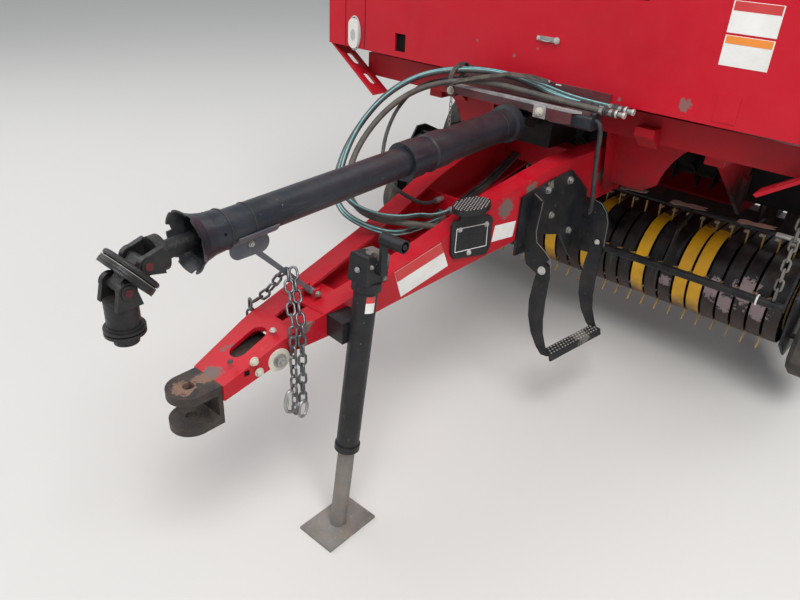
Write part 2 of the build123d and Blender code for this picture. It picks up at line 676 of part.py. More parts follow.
def step_plane(distance):
    """A plane across the line of pins: local X points outward and local Y up."""
    return Plane(origin=step_front + step_along * distance, x_dir=step_out, z_dir=step_along * -1.0)


front_flange = [(-98.0, 268.0), (-58.0, 250.0), (-62.0, 130.0), (-50.0, 92.0), (-14.0, 74.0), (18.0, 50.0)]
front_flange_low = [(-26.0, -18.0), (-74.0, 0.0), (-98.0, 62.0)]
rear_flange = [(-92.0, 200.0), (-26.0, 190.0), (6.0, 160.0), (22.0, 120.0), (28.0, 20.0)]
rear_flange_low = [(-24.0, -24.0), (-92.0, -30.0)]
with BuildPart() as step_bracket:
    with BuildSketch(beam_plane):
        with BuildLine():
            Polyline((950.0, 920.0), (1110.0, 952.0), (1245.0, 968.0), (1376.0, 862.0), (1386.0, 640.0),
                     (1352.0, 560.0), (1320.0, 590.0), (1230.0, 705.0), (1100.0, 740.0),
                     (1040.0, 722.0), (1020.0, 690.0),
                     (950.0, 690.0), close=True)
        make_face()
    extrude(amount=STEP_PLATE)
    for distance, thickness, upper, lower in [
        (0.0, STEP_FLANGE, front_flange, front_flange_low),
        (STEP_SPAN, -STEP_FLANGE, rear_flange, rear_flange_low),
    ]:
        with BuildSketch(step_plane(distance)):
            with BuildLine():
                Polyline(*upper, *lower, close=True)
            make_face()
            Circle(32.0)
            Circle(STEP_PIN_R + FIT, mode=Mode.SUBTRACT)
        extrude(amount=thickness)
save(step_bracket, "step_bracket")

# Folding step: two curved legs on pins in the flanges, and the tread between their feet
STEP_GAP = 4.0
STEP_LEG = 8.0
leg_shape = [
    (-26.0, 6.0), (-34.0, -60.0), (-38.0, -140.0), (-28.0, -205.0), (-2.0, -268.0), (34.0, -316.0),
    (62.0, -338.0),
    (92.0, -334.0), (70.0, -300.0), (48.0, -252.0), (36.0, -196.0), (30.0, -120.0), (27.0, 4.0),
]
tread_shape = [
    (52.0, -336.0), (62.0, -320.0), (104.0, -322.0), (112.0, -346.0), (104.0, -348.0), (98.0, -330.0),
    (68.0, -328.0),
]
STEP_INSIDE = STEP_SPAN - 2 * STEP_GAP
with BuildPart() as folding_step:
    for distance, thickness in [(STEP_GAP, -STEP_LEG), (STEP_GAP + STEP_INSIDE, STEP_LEG)]:
        with BuildSketch(step_plane(distance)):
            with BuildLine():
                Polyline(*leg_shape, close=True)
            make_face()
            Circle(27.0)
        extrude(amount=thickness)
    for distance, length in [(-STEP_FLANGE, -(STEP_FLANGE + STEP_GAP + 2.0)),
                             (STEP_SPAN + STEP_FLANGE, STEP_FLANGE + STEP_GAP + 2.0)]:
        with BuildSketch(step_plane(distance)):
            Circle(STEP_PIN_R)
        extrude(amount=length)
    with BuildSketch(step_plane(STEP_GAP)):
        with BuildLine():
            Polyline(*tread_shape, close=True)
        make_face()
    extrude(amount=-STEP_INSIDE)
save(folding_step, "folding_step")

# Tread pad: a plate on the beam's outer side with a small oval pad on its stalk
PAD_Z = (944.0, 962.0)
PAD_Y = -938.0
with BuildPart() as tread_plate:
    with BuildSketch(beam_plane):
        with BuildLine():
            Polyline((585.0, 905.0), (600.0, 918.0), (778.0, 896.0), (796.0, 880.0), (798.0, 770.0),
                     (780.0, 746.0),
                     (610.0, 776.0), (592.0, 800.0), close=True)
        make_face()
        with Locations((690.0, 925.0)):
            Rectangle(130.0, 60.0)
    extrude(amount=8.0)
    with BuildSketch(Plane.XY.offset(PAD_Z[0])):
        with Locations((beam_x(PAD_Y, 8.0), PAD_Y)):
            Ellipse(52.0, 84.0)
    extrude(amount=PAD_Z[1] - PAD_Z[0])
save(tread_plate, "tread_plate")

# Safety chain: two strands of links side by side down the near side of the nose
CHAIN_WIRE = 8.0
CHAIN_PITCH = 34.0
CHAIN_LINK = (46.0, 30.0)
CHAIN_LINKS = 8
chain_x = beam_x(-1668.0) + CHAIN_LINK[1] / 2 + SEAT + 0.5
with BuildPart() as safety_chain:
    for number in range(CHAIN_LINKS):
        link_plane = Plane(
            origin=(chain_x, -1668.0, 712.0 - number * CHAIN_PITCH),
            x_dir=(0.0, 0.0, 1.0),
            z_dir=(0.0, 1.0, 0.0) if number % 2 else (1.0, 0.0, 0.0),
        )
        with BuildSketch(link_plane):
            SlotOverall(CHAIN_LINK[0], CHAIN_LINK[1])
            SlotOverall(CHAIN_LINK[0] - 2 * CHAIN_WIRE, CHAIN_LINK[1] - 2 * CHAIN_WIRE, mode=Mode.SUBTRACT)
        extrude(amount=CHAIN_WIRE / 2, both=True)
save(safety_chain, "safety_chain")

# Shaft rest: a saddle under the shaft on a rod from a foot on the drawbar
rest_seat = shaft_rear + shaft_forward * 1290.0
saddle_z = rest_seat.Z - (GUARD_FRONT_R + SEAT) - 4.0
with BuildPart() as pto_rest:
    with BuildSketch(side_plane(-4.0)):
        with BuildLine():
            Polyline((REST_PIVOT[1] - 9.0, REST_PIVOT[2]), (REST_PIVOT[1] + 9.0, REST_PIVOT[2]),
                     (rest_seat.Y + 9.0, saddle_z - 24.0), (rest_seat.Y + 9.0, saddle_z + 1.0),
                     (rest_seat.Y - 9.0, saddle_z + 1.0), (rest_seat.Y - 9.0, saddle_z - 30.0), close=True)
        make_face()
    extrude(amount=8.0)
    for pin_r, half_length in [(11.0, REST_HUB), (REST_PIN_R, REST_HUB + REST_EAR)]:
        with BuildSketch(side_plane(-half_length)):
            with Locations((REST_PIVOT[1], REST_PIVOT[2])):
                Circle(pin_r)
        extrude(amount=2 * half_length)
    saddle_plane = Plane(origin=(0.0, rest_seat.Y, rest_seat.Z), x_dir=(1.0, 0.0, 0.0), z_dir=shaft_forward)
    with BuildSketch(saddle_plane.offset(-65.0)):
        Circle(GUARD_FRONT_R + SEAT + 6.0)
        Circle(GUARD_FRONT_R + SEAT, mode=Mode.SUBTRACT)
        with Locations((0.0, GUARD_FRONT_R)):
            Rectangle(200.0, 2 * GUARD_FRONT_R + 40.0, mode=Mode.SUBTRACT)
    extrude(amount=130.0)
    with BuildSketch(side_plane(-3.0)):
        with Locations((rest_seat.Y, saddle_z - 26.0)):
            SlotOverall(130.0, 56.0)
    extrude(amount=6.0)
save(pto_rest, "pto_rest")

# Driveline: the two guard tubes telescope along the shaft's axis


def shaft_plane(distance):
    """A plane across the shaft at a distance forward of its rear joint."""
    return Plane(
        origin=shaft_rear + shaft_forward * distance, x_dir=(1.0, 0.0, 0.0), z_dir=shaft_forward
    )


arm_width = YOKE_ARM[1] - YOKE_ARM[0]


def yoke(centre, towards, hub_near, hub_far, hub_r, pin_r):
    """A fork: a hub on its axis and two arms that carry one cross on X."""
    with BuildPart() as fork:
        hub_plane = Plane(
            origin=centre + towards * hub_near, x_dir=(1.0, 0.0, 0.0), z_dir=towards
        )
        with BuildSketch(hub_plane):
            Circle(hub_r)
        extrude(amount=hub_far - hub_near)
        arm_plane = Plane(origin=centre + Vector(YOKE_ARM[0], 0.0, 0.0), x_dir=towards, z_dir=(1.0, 0.0, 0.0))
        with BuildSketch(arm_plane):
            Circle(24.0)
            with BuildLine():
                Polyline((0.0, 23.0), (hub_near + 8.0, 34.0), (hub_near + 8.0, -34.0), (0.0, -23.0), close=True)
            make_face()
            Circle(pin_r, mode=Mode.SUBTRACT)
        extrude(amount=arm_width)
        mirror(about=Plane.YZ)
    return fork


# Gearbox in front of and under the cross-beam, with the input yoke that carries the driveline
input_yoke = yoke(shaft_rear, Vector(0.0, 1.0, 0.0), 34.0, 102.0, 40.0, CROSS_PIN_R + FIT)
with BuildPart() as gearbox:
    with BuildSketch(side_plane(-90.0)):
        with BuildLine():
            Polyline((-330.0, 1010.0), (-330.0, CROSS_Z[1]), (CROSS_Y[0], CROSS_Z[1]), (CROSS_Y[0], CROSS_Z[0]),
                     (CROSS_Y[1], CROSS_Z[0]), (CROSS_Y[1], 1010.0), close=True)
        make_face()
    extrude(amount=180.0)
    add(input_yoke.part)
save(gearbox, "gearbox")

guard_profile_plane = Plane(origin=shaft_rear, x_dir=shaft_forward, z_dir=(1.0, 0.0, 0.0))
shaft_axis = Axis(tuple(shaft_rear), tuple(shaft_forward))
COLLAR = (72.0, 102.0)
guard_rear_profile = [
    (COLLAR[0], GUARD_FRONT_R + SEAT), (COLLAR[0], GUARD_REAR_R + 12.0), (COLLAR[1], GUARD_REAR_R + 12.0),
    (COLLAR[1] + 6.0, GUARD_REAR_R), (470.0, GUARD_REAR_R), (474.0, GUARD_REAR_R + 4.0),
    (560.0, GUARD_REAR_R + 4.0),
    (564.0, GUARD_REAR_R), (610.0, GUARD_REAR_R), (613.0, GUARD_REAR_R + 5.0), (GUARD_JOIN, GUARD_REAR_R + 5.0),
    (GUARD_JOIN, GUARD_FRONT_R + SEAT),
]
with BuildPart() as pto_guard_rear:
    with BuildSketch(guard_profile_plane):
        with BuildLine():
            Polyline(*guard_rear_profile, close=True)
        make_face()
    revolve(axis=shaft_axis)
    with BuildSketch(shaft_plane(-20.0)):
        Circle(SHAFT_R)
    extrude(amount=100.0)
    with BuildSketch(shaft_plane(COLLAR[0])):
        Circle(GUARD_REAR_R)
    extrude(amount=8.0)
    with BuildSketch(side_plane(-YOKE_ARM[1])):
        with Locations((SHAFT_REAR[1], SHAFT_REAR[2])):
            Circle(CROSS_PIN_R)
    extrude(amount=2 * YOKE_ARM[1])
save(pto_guard_rear, "pto_guard_rear")

CONE_END = GUARD_FRONT_END - 56.0
cone_profile = [
    (200.0, SHAFT_R + FIT), (200.0, GUARD_FRONT_R), (CONE_END - 114.0, GUARD_FRONT_R), (CONE_END - 112.0, 54.0),
    (CONE_END - 64.0, 57.0), (CONE_END - 34.0, 64.0), (CONE_END - 14.0, 73.0), (CONE_END, 84.0),
    (CONE_END, 79.0),
    (CONE_END - 17.0, 68.0), (CONE_END - 37.0, 58.0), (CONE_END - 64.0, 52.0), (CONE_END - 84.0, 50.0),
    (CONE_END - 84.0, SHAFT_R + FIT),
]
RIM_CUTS = [(20.0, 7.0), (75.0, 12.0), (128.0, 8.0), (190.0, 14.0), (236.0, 7.0), (292.0, 11.0), (336.0, 8.0)]
with BuildPart() as pto_guard_front:
    with BuildSketch(guard_profile_plane):
        with BuildLine():
            Polyline(*cone_profile, close=True)
        make_face()
    revolve(axis=shaft_axis)
    for cut_turn, cut_r in RIM_CUTS:
        cut_at = math.radians(cut_turn)
        cut_out = Vector(1.0, 0.0, 0.0) * math.cos(cut_at) + guard_profile_plane.y_dir * math.sin(cut_at)
        cut_plane = Plane(origin=shaft_rear + shaft_forward * (CONE_END + 2.0) + cut_out * 66.0, z_dir=cut_out)
        with BuildSketch(cut_plane):
            RegularPolygon(cut_r, 5)
        extrude(amount=26.0, mode=Mode.SUBTRACT)
save(pto_guard_front, "pto_guard_front")

# Cross joints: an inner yoke on the shaft, the centre piece with both crosses, and the outer yoke
cross_1 = shaft_rear + shaft_forward * CROSS_1_AT
cross_2 = cross_1 + Vector(*CROSS_2_STEP)
centre_axis = Vector(*CROSS_2_STEP).normalized()
inner_yoke_part = yoke(cross_1, shaft_forward * -1.0, 34.0, 60.0, 46.0, CROSS_PIN_R + FIT)
with BuildPart() as cv_inner_yoke:
    add(inner_yoke_part.part)
    with BuildSketch(shaft_plane(CROSS_1_AT - 300.0)):
        Circle(SHAFT_R)
    extrude(amount=245.0)
save(cv_inner_yoke, "cv_inner_yoke")

with BuildPart() as cv_centre:
    centre_plane = Plane(
        origin=(cross_1 + cross_2) / 2, x_dir=(1.0, 0.0, 0.0), z_dir=centre_axis
    )
    for disc_r, disc_half in [(66.0, 9.0), (74.0, 4.0)]:
        with BuildSketch(centre_plane):
            Circle(disc_r)
        extrude(amount=disc_half, both=True)
    for ring_at in (-15.0, 8.0):
        with BuildSketch(centre_plane.offset(ring_at)):
            Circle(74.0)
            Circle(58.0, mode=Mode.SUBTRACT)
        extrude(amount=7.0)
    with BuildSketch(centre_plane):
        Circle(66.0)
        Circle(58.0, mode=Mode.SUBTRACT)
    extrude(amount=14.0, both=True)
    for cross in (cross_1, cross_2):
        with BuildSketch(Plane.YZ.offset(-YOKE_ARM[1])):
            with Locations((cross.Y, cross.Z)):
                Circle(CROSS_PIN_R)
        extrude(amount=2 * YOKE_ARM[1])
        with BuildSketch(centre_plane):
            Rectangle(44.0, 30.0)
        extrude(amount=(cross - (cross_1 + cross_2) / 2).dot(centre_axis))
save(cv_centre, "cv_centre")

outer_yoke_part = yoke(cross_2, Vector(0.0, 0.0, -1.0), 34.0, 100.0, 40.0, CROSS_PIN_R + FIT)
COLLAR_DISCS = [
    (100.0, 106.0, 45.0),
    (106.0, 112.0, 50.0),
    (112.0, 116.0, 44.0),
    (116.0, 124.0, 50.0),
    (124.0, 150.0, 31.0),
]
with BuildPart() as cv_outer_yoke:
    add(outer_yoke_part.part)
    for disc_top, disc_low, disc_r in COLLAR_DISCS:
        with BuildSketch(Plane.XY.offset(cross_2.Z - disc_low)):
            with Locations((0.0, cross_2.Y)):
                Circle(disc_r)
        extrude(amount=disc_low - disc_top)
    with BuildSketch(Plane.XY.offset(cross_2.Z - 150.0)):
        with Locations((0.0, cross_2.Y)):
            Circle(PTO_BORE_R)
    extrude(amount=80.0, mode=Mode.SUBTRACT)
save(cv_outer_yoke, "cv_outer_yoke")

# Wheels
RIM_R = 215.0
LUG_COUNT = 18
LUG_ROWS = [(1.0, 0.0), (-1.0, 0.5)]
LUG_SIZE = (150.0, 46.0)
LUG_OFF = 96.0
LUG_SKEW = 0.45
LUG_R = (TYRE_RADIUS - 60.0, TYRE_RADIUS + 6.0)
tyre_profile = [
    (-170.0, RIM_R + SEAT), (-205.0, 240.0), (-230.0, TYRE_RADIUS - 155.0), (-228.0, TYRE_RADIUS - 85.0),
    (-205.0, TYRE_RADIUS - 40.0), (-150.0, TYRE_RADIUS - 22.0), (0.0, TYRE_RADIUS - 16.0),
    (150.0, TYRE_RADIUS - 22.0), (205.0, TYRE_RADIUS - 40.0), (228.0, TYRE_RADIUS - 85.0),
    (230.0, TYRE_RADIUS - 155.0), (205.0, 240.0), (170.0, RIM_R + SEAT),
]
rim_profile = [
    (-185.0, RIM_R), (185.0, RIM_R), (185.0, RIM_R - 14.0), (30.0, RIM_R - 14.0), (40.0, 120.0),
    (50.0, 95.0), (50.0, 60.0), (65.0, 55.0), (65.0, SPINDLE_R + FIT), (-150.0, SPINDLE_R + FIT),
    (-150.0, 60.0), (-10.0, 70.0), (20.0, 110.0), (14.0, RIM_R - 14.0), (-185.0, RIM_R - 14.0),
]
for side, name in [(1.0, "left"), (-1.0, "right")]:
    wheel_plane = Plane(
        origin=(side * WHEEL_X, AXLE_Y, AXLE_Z), x_dir=(side, 0.0, 0.0), z_dir=(0.0, -side, 0.0)
    )
    wheel_axis = Axis((side * WHEEL_X, AXLE_Y, AXLE_Z), (1.0, 0.0, 0.0))
    with BuildPart() as tyre:
        with BuildSketch(wheel_plane):
            with BuildLine():
                Polyline(*tyre_profile, close=True)
            make_face()
        revolve(axis=wheel_axis)
        lug_places = []
        for lug in range(LUG_COUNT):
            for lug_side, lug_shift in LUG_ROWS:
                lug_turn = math.radians((lug + lug_shift) * 360.0 / LUG_COUNT)
                lug_out = Vector(0.0, math.cos(lug_turn), math.sin(lug_turn))
                lug_across = Vector(1.0, 0.0, 0.0) * lug_side + Vector(0.0, -lug_out.Z, lug_out.Y) * LUG_SKEW
                lug_origin = Vector(side * WHEEL_X + lug_side * LUG_OFF, AXLE_Y, AXLE_Z) + lug_out * LUG_R[0]
                lug_places.append(Plane(origin=lug_origin, x_dir=lug_across.normalized(), z_dir=lug_out))
        with BuildSketch(*lug_places):
            Rectangle(LUG_SIZE[0], LUG_SIZE[1])
        extrude(amount=LUG_R[1] - LUG_R[0])
        with BuildSketch(side_plane(side * WHEEL_X - 250.0)):
            with Locations((AXLE_Y, AXLE_Z)):
                Circle(TYRE_RADIUS)
        extrude(amount=500.0, mode=Mode.INTERSECT)
    save(tyre, "tyre_" + name)
    with BuildPart() as rim:
        with BuildSketch(wheel_plane):
            with BuildLine():
                Polyline(*rim_profile, close=True)
            make_face()
        revolve(axis=wheel_axis)
    save(rim, "rim_" + name)

# Pickup: end plates, cross members and pivot arms
UPPER_MEMBER = (505.0, 624.0)
LOWER_MEMBER = (470.0, 248.0)
MEMBER_R = 12.0
with BuildPart() as pickup_frame:
    with BuildSketch(side_plane(PICKUP_X)):
        with BuildLine():
            Polyline((70.0, 350.0), (70.0, 560.0), (220.0, 760.0), (290.0, 760.0), (540.0, 650.0),
                     (540.0, 560.0), (500.0, 225.0), (240.0, 225.0), close=True)
        make_face()
        with Locations((REEL_Y, REEL_Z)):
            Circle(30.0 + FIT, mode=Mode.SUBTRACT)
        with Locations((GUARD_BAR_Y, GUARD_BAR_Z)):
            Circle(10.0 + FIT, mode=Mode.SUBTRACT)
    extrude(amount=PICKUP_PLATE)
    with BuildSketch(side_plane(RAIL_X[1] + 20.0)):
        with BuildLine():
            Polyline((497.0, 634.0), (PICKUP_PIVOT_Y + 22.0, PICKUP_PIVOT_Z + 26.0),
                     (PICKUP_PIVOT_Y + 22.0, PICKUP_PIVOT_Z - 26.0), (497.0, 600.0), close=True)
        make_face()
    extrude(amount=12.0)
    with BuildSketch(side_plane(RAIL_X[1] - 2.0)):
        with Locations((PICKUP_PIVOT_Y, PICKUP_PIVOT_Z)):
            Circle(PIVOT_PIN_R)
    extrude(amount=24.0)
    with BuildSketch(side_plane(PICKUP_X + PICKUP_PLATE)):
        with Locations((GAUGE_Y, GAUGE_Z)):
            Circle(12.0)
    extrude(amount=135.0)
    mirror(about=Plane.YZ)
    with BuildSketch(side_plane(-PICKUP_X)):
        with Locations(UPPER_MEMBER, LOWER_MEMBER):
            Circle(MEMBER_R)
    extrude(amount=2 * PICKUP_X)
save(pickup_frame, "pickup_frame")

# Stripper bands between the tines
with BuildPart() as band:
    with BuildSketch(side_plane(-BAND_WIDTH / 2)):
        with BuildLine():
            Line((UPPER_MEMBER[0], REEL_Z + BAND_R), (REEL_Y, REEL_Z + BAND_R))
            ThreePointArc((REEL_Y, REEL_Z + BAND_R), (REEL_Y - BAND_R, REEL_Z), (REEL_Y, REEL_Z - BAND_R))
            Line((REEL_Y, REEL_Z - BAND_R), (LOWER_MEMBER[0], REEL_Z - BAND_R))
            Line((LOWER_MEMBER[0], REEL_Z - BAND_R), (LOWER_MEMBER[0], REEL_Z - BAND_R + BAND_THICKNESS))
            Line((LOWER_MEMBER[0], REEL_Z - BAND_R + BAND_THICKNESS), (REEL_Y, REEL_Z - BAND_R + BAND_THICKNESS))
            ThreePointArc((REEL_Y, REEL_Z - BAND_R + BAND_THICKNESS), (REEL_Y - BAND_R + BAND_THICKNESS, REEL_Z),
                          (REEL_Y, REEL_Z + BAND_R - BAND_THICKNESS))
            Line((REEL_Y, REEL_Z + BAND_R - BAND_THICKNESS), (UPPER_MEMBER[0], REEL_Z + BAND_R - BAND_THICKNESS))
            Line((UPPER_MEMBER[0], REEL_Z + BAND_R - BAND_THICKNESS), (UPPER_MEMBER[0], REEL_Z + BAND_R))
        make_face()
    extrude(amount=BAND_WIDTH)
YELLOW_BANDS = (14, 17, 21, 24, 25)
band_places = [(number - (BAND_COUNT - 1) / 2) * BAND_PITCH for number in range(BAND_COUNT)]
with BuildPart() as stripper_bands:
    with Locations(*[(x, 0.0, 0.0) for i, x in enumerate(band_places) if i not in YELLOW_BANDS]):
        add(band.part)
save(stripper_bands, "stripper_bands")
with BuildPart() as yellow_bands:
    with Locations(*[(band_places[i], 0.0, 0.0) for i in YELLOW_BANDS]):
        add(band.part)
save(yellow_bands, "yellow_bands")

# Tine reel: a shaft, discs that carry the tine bars, and a row of tines on each bar
with BuildPart() as tine_reel:
    with BuildSketch(side_plane(-PICKUP_X - PICKUP_PLATE)):
        with Locations((REEL_Y, REEL_Z)):
            Circle(30.0)
    extrude(amount=2 * (PICKUP_X + PICKUP_PLATE))
    for disc_x in (-1010.0, -330.0, 330.0, 1002.0):
        with BuildSketch(side_plane(disc_x)):
            with Locations((REEL_Y, REEL_Z)):
                Circle(TINE_BAR_R + 20.0)
        extrude(amount=8.0)
    for row in range(TINE_ROWS):
        turn = math.radians(18.0 + row * 360.0 / TINE_ROWS)
        tine_direction = Vector(0.0, math.cos(turn), math.sin(turn))
        bar_centre = Vector(0.0, REEL_Y, REEL_Z) + tine_direction * TINE_BAR_R
        with BuildSketch(side_plane(-1008.0)):
            with Locations((bar_centre.Y, bar_centre.Z)):
                Circle(12.0)
        extrude(amount=2016.0)
        tine_plane = Plane(origin=bar_centre, x_dir=(1.0, 0.0, 0.0), z_dir=tine_direction)
        with BuildSketch(tine_plane):
            with GridLocations(BAND_PITCH, 1.0, BAND_COUNT - 1, 1):
                Rectangle(2 * TINE_R, 2 * TINE_R)
        extrude(amount=TINE_TIP_R - TINE_BAR_R)
save(tine_reel, "tine_reel")

# Windguard: front tube, rear bar on the pivot axis and the bent arms between them
GUARD_BEND = (110.0, 672.0)
arm_line = [(GUARD_BAR_Y + 6.0, GUARD_BAR_Z), GUARD_BEND, (GUARD_TUBE_Y, GUARD_TUBE_Z - 6.0)]
with BuildPart() as windguard:
    with BuildSketch(side_plane(-PICKUP_X - PICKUP_PLATE)):
        with Locations((GUARD_BAR_Y, GUARD_BAR_Z)):
            Circle(10.0)
    extrude(amount=2 * (PICKUP_X + PICKUP_PLATE))
    with BuildSketch(side_plane(-1010.0)):
        with Locations((GUARD_TUBE_Y, GUARD_TUBE_Z)):
            Circle(17.0)
    extrude(amount=2020.0)
    for arm_x in (-1018.0, -524.0, 516.0, 1010.0):
        for arm_start, arm_end in zip(arm_line, arm_line[1:]):
            arm = Vector(0.0, arm_end[0] - arm_start[0], arm_end[1] - arm_start[1])
            arm_plane = Plane(origin=(arm_x, arm_start[0], arm_start[1]), x_dir=arm, z_dir=(1.0, 0.0, 0.0))
            with BuildSketch(arm_plane):
                with Locations((arm.length / 2, 0.0)):
                    SlotOverall(arm.length + 24.0, 24.0)
            extrude(amount=8.0)
save(windguard, "windguard")

# Windguard chain, hung from a lug on the cross-beam
with BuildPart() as windguard_chain:
    for number in range(13):
        link_plane = Plane(
            origin=(970.0, GUARD_TUBE_Y - 4.0, GUARD_TUBE_Z + 47.4 + number * 42.0),
            x_dir=(0.0, 0.0, 1.0),
            z_dir=(0.0, 1.0, 0.0) if number % 2 else (1.0, 0.0, 0.0),
        )
        with BuildSketch(link_plane):
            SlotOverall(60.0, 34.0)
            SlotOverall(42.0, 16.0, mode=Mode.SUBTRACT)
        extrude(amount=4.5, both=True)
save(windguard_chain, "windguard_chain")

for side, name in [(1.0, "left"), (-1.0, "right")]:
    gauge_plane = Plane(
        origin=(side * (PICKUP_X + 85.0), GAUGE_Y, GAUGE_Z), x_dir=(side, 0.0, 0.0), z_dir=(0.0, -side, 0.0)
    )
    with BuildPart() as gauge_wheel:
        with BuildSketch(gauge_plane):
            with BuildLine():
                Polyline((-45.0, 90.0), (-45.0, 130.0), (-25.0, GAUGE_R), (25.0, GAUGE_R), (45.0, 130.0),
                         (45.0, 90.0), (12.0, 80.0), (12.0, 30.0), (40.0, 26.0), (40.0, 12.0 + FIT),
                         (-40.0, 12.0 + FIT), (-40.0, 26.0), (-12.0, 30.0), (-12.0, 80.0), close=True)
            make_face()
        revolve(axis=Axis((side * (PICKUP_X + 85.0), GAUGE_Y, GAUGE_Z), (1.0, 0.0, 0.0)))
    save(gauge_wheel, "gauge_wheel_" + name)

# Tailgate: walls, skin, outer shields, net box
GATE_SKIN = 10.0
GATE_TOP = (HINGE_Y + 180.0, GATE_TOP_Z)
GATE_REAR = (1880.0, 1500.0)
GATE_LOW = (1350.0, 580.0)
GATE_TOE = (612.0, 640.0)
GATE_HEAD = (HINGE_Y + 12.0, GATE_TOP_Z - 10.0)


def bulge(start, end, rise):
    """The point that a curved edge passes between two ends, moved out from the middle of the chord."""
    chord = Vector(end[0] - start[0], end[1] - start[1], 0.0)
    middle = Vector((start[0] + end[0]) / 2, (start[1] + end[1]) / 2, 0.0)
    outward = Vector(-chord.Y, chord.X, 0.0).normalized() * rise
    return (middle.X + outward.X, middle.Y + outward.Y)


TOP_RISE = 309.0
REAR_RISE = 175.0
with BuildSketch(side_plane(0.0)) as gate_outline:
    with BuildLine():
        Polyline(GATE_HEAD, GATE_TOP)
        ThreePointArc(GATE_TOP, bulge(GATE_TOP, GATE_REAR, TOP_RISE), GATE_REAR)
        ThreePointArc(GATE_REAR, bulge(GATE_REAR, GATE_LOW, REAR_RISE), GATE_LOW)
        Polyline(GATE_LOW, GATE_TOE, (HINGE_Y - 68.0, 1200.0), GATE_HEAD)
    make_face()
GATE_RIBS = [
    ((780.0, 1500.0), (1560.0, 1500.0)),
    ((790.0, 1820.0), (1560.0, 1820.0)),
    ((800.0, 2150.0), (1420.0, 2150.0)),
]
with BuildPart() as tailgate_frame:
    with BuildSketch(side_plane(GATE_WALL_X - WALL_THICKNESS)):
        add(gate_outline.sketch_local)
    extrude(amount=WALL_THICKNESS)
    with BuildSketch(side_plane(GATE_WALL_X - WALL_THICKNESS - 30.0)):
        with Locations((HINGE_Y, HINGE_Z)):
            Circle(60.0)
    extrude(amount=WALL_THICKNESS + 30.0)
    with BuildSketch(side_plane(GATE_WALL_X)):
        with Locations((HINGE_Y, HINGE_Z)):
            Circle(HINGE_PIN_R)
    extrude(amount=WALL_X + HINGE_BOSS - GATE_WALL_X)
    for rib_front, rib_rear in GATE_RIBS:
        with BuildSketch(side_plane(GATE_WALL_X)):
            with Locations(((rib_front[0] + rib_rear[0]) / 2, rib_front[1])):
                Rectangle(rib_rear[0] - rib_front[0], RIB_WIDTH)
        extrude(amount=RIB_HEIGHT)
    mirror(about=Plane.YZ)
save(tailgate_frame, "tailgate_frame")
INNER_TOP = (GATE_TOP[0], GATE_TOP[1] - GATE_SKIN)
INNER_REAR = (GATE_REAR[0] - GATE_SKIN, GATE_REAR[1])
INNER_LOW = (GATE_LOW[0] - 4.0, GATE_LOW[1] + GATE_SKIN)
SKIN_HEAD = (GATE_HEAD[0] + 68.0, (GATE_HEAD[1] + GATE_TOP[1]) / 2)
SKIN_TOE = (GATE_TOE[0] + 108.0, GATE_TOE[1] - 0.08 * 108.0)
SKIN_HALF = GATE_WALL_X - WALL_THICKNESS
with BuildPart() as tailgate_skin:
    with BuildSketch(side_plane(-SKIN_HALF)):
        with BuildLine():
            Polyline(SKIN_HEAD, GATE_TOP)
            ThreePointArc(GATE_TOP, bulge(GATE_TOP, GATE_REAR, TOP_RISE), GATE_REAR)
            ThreePointArc(GATE_REAR, bulge(GATE_REAR, GATE_LOW, REAR_RISE), GATE_LOW)
            Polyline(GATE_LOW, SKIN_TOE, (SKIN_TOE[0], SKIN_TOE[1] + GATE_SKIN), INNER_LOW)
            ThreePointArc(INNER_LOW, bulge(INNER_LOW, INNER_REAR, -REAR_RISE), INNER_REAR)
            ThreePointArc(INNER_REAR, bulge(INNER_REAR, INNER_TOP, -TOP_RISE), INNER_TOP)
            Polyline(INNER_TOP, (SKIN_HEAD[0], SKIN_HEAD[1] - GATE_SKIN), SKIN_HEAD)
        make_face()
    extrude(amount=2 * SKIN_HALF)
    for rib_place in (0.2, 0.4, 0.6, 0.8):
        rib_x = SKIN_HALF - 40.0
        rib_edge = Edge.make_three_point_arc(GATE_TOP, bulge(GATE_TOP, GATE_REAR, TOP_RISE), GATE_REAR)
        rib_at = rib_edge.position_at(rib_place)
        rib_slope = rib_edge.tangent_at(rib_place)
        rib_out = (0.0, -rib_slope.Y, rib_slope.X)
        rib_plane = Plane(origin=(0.0, rib_at.X, rib_at.Y), x_dir=(1.0, 0.0, 0.0), z_dir=rib_out)
        with BuildSketch(rib_plane.offset(-GATE_SKIN / 2)):
            Rectangle(2 * rib_x, RIB_WIDTH)
        extrude(amount=GATE_SKIN / 2 + RIB_HEIGHT)
save(tailgate_skin, "tailgate_skin")

# Outer side shells: one cross-section for the doors and the tailgate's shields
SHELL = 22.0
DOOR_HINGE = (WALL_X + SEAT + 10.0, GATE_TOP_Z - 230.0)
SHELL_FALLS = [(900.0, 280.0), (1060.0, 390.0), (1136.0, 530.0)]
SHELL_SHOULDER = GATE_TOP_Z - 670.0
shell_outer = [(x, GATE_TOP_Z - fall) for x, fall in SHELL_FALLS]
shell_inner = [(1116.0, GATE_TOP_Z - 542.0), (1046.0, GATE_TOP_Z - 406.0), (894.0, GATE_TOP_Z - 301.0)]
shell_section = [
    (DOOR_HINGE[0], DOOR_HINGE[1] + 10.0), *shell_outer, (SHIELD_X, SHELL_SHOULDER), (SHIELD_X, SHIELD_LOW_Z),
    (SHIELD_X - SHELL, SHIELD_LOW_Z), (SHIELD_X - SHELL, SHELL_SHOULDER - 8.0), *shell_inner,
    (DOOR_HINGE[0], DOOR_HINGE[1] - 10.0),
]
DOOR_Y = (SHIELD_BACK_Y + RUNNING_GAP, HINGE_Y - 34.0)
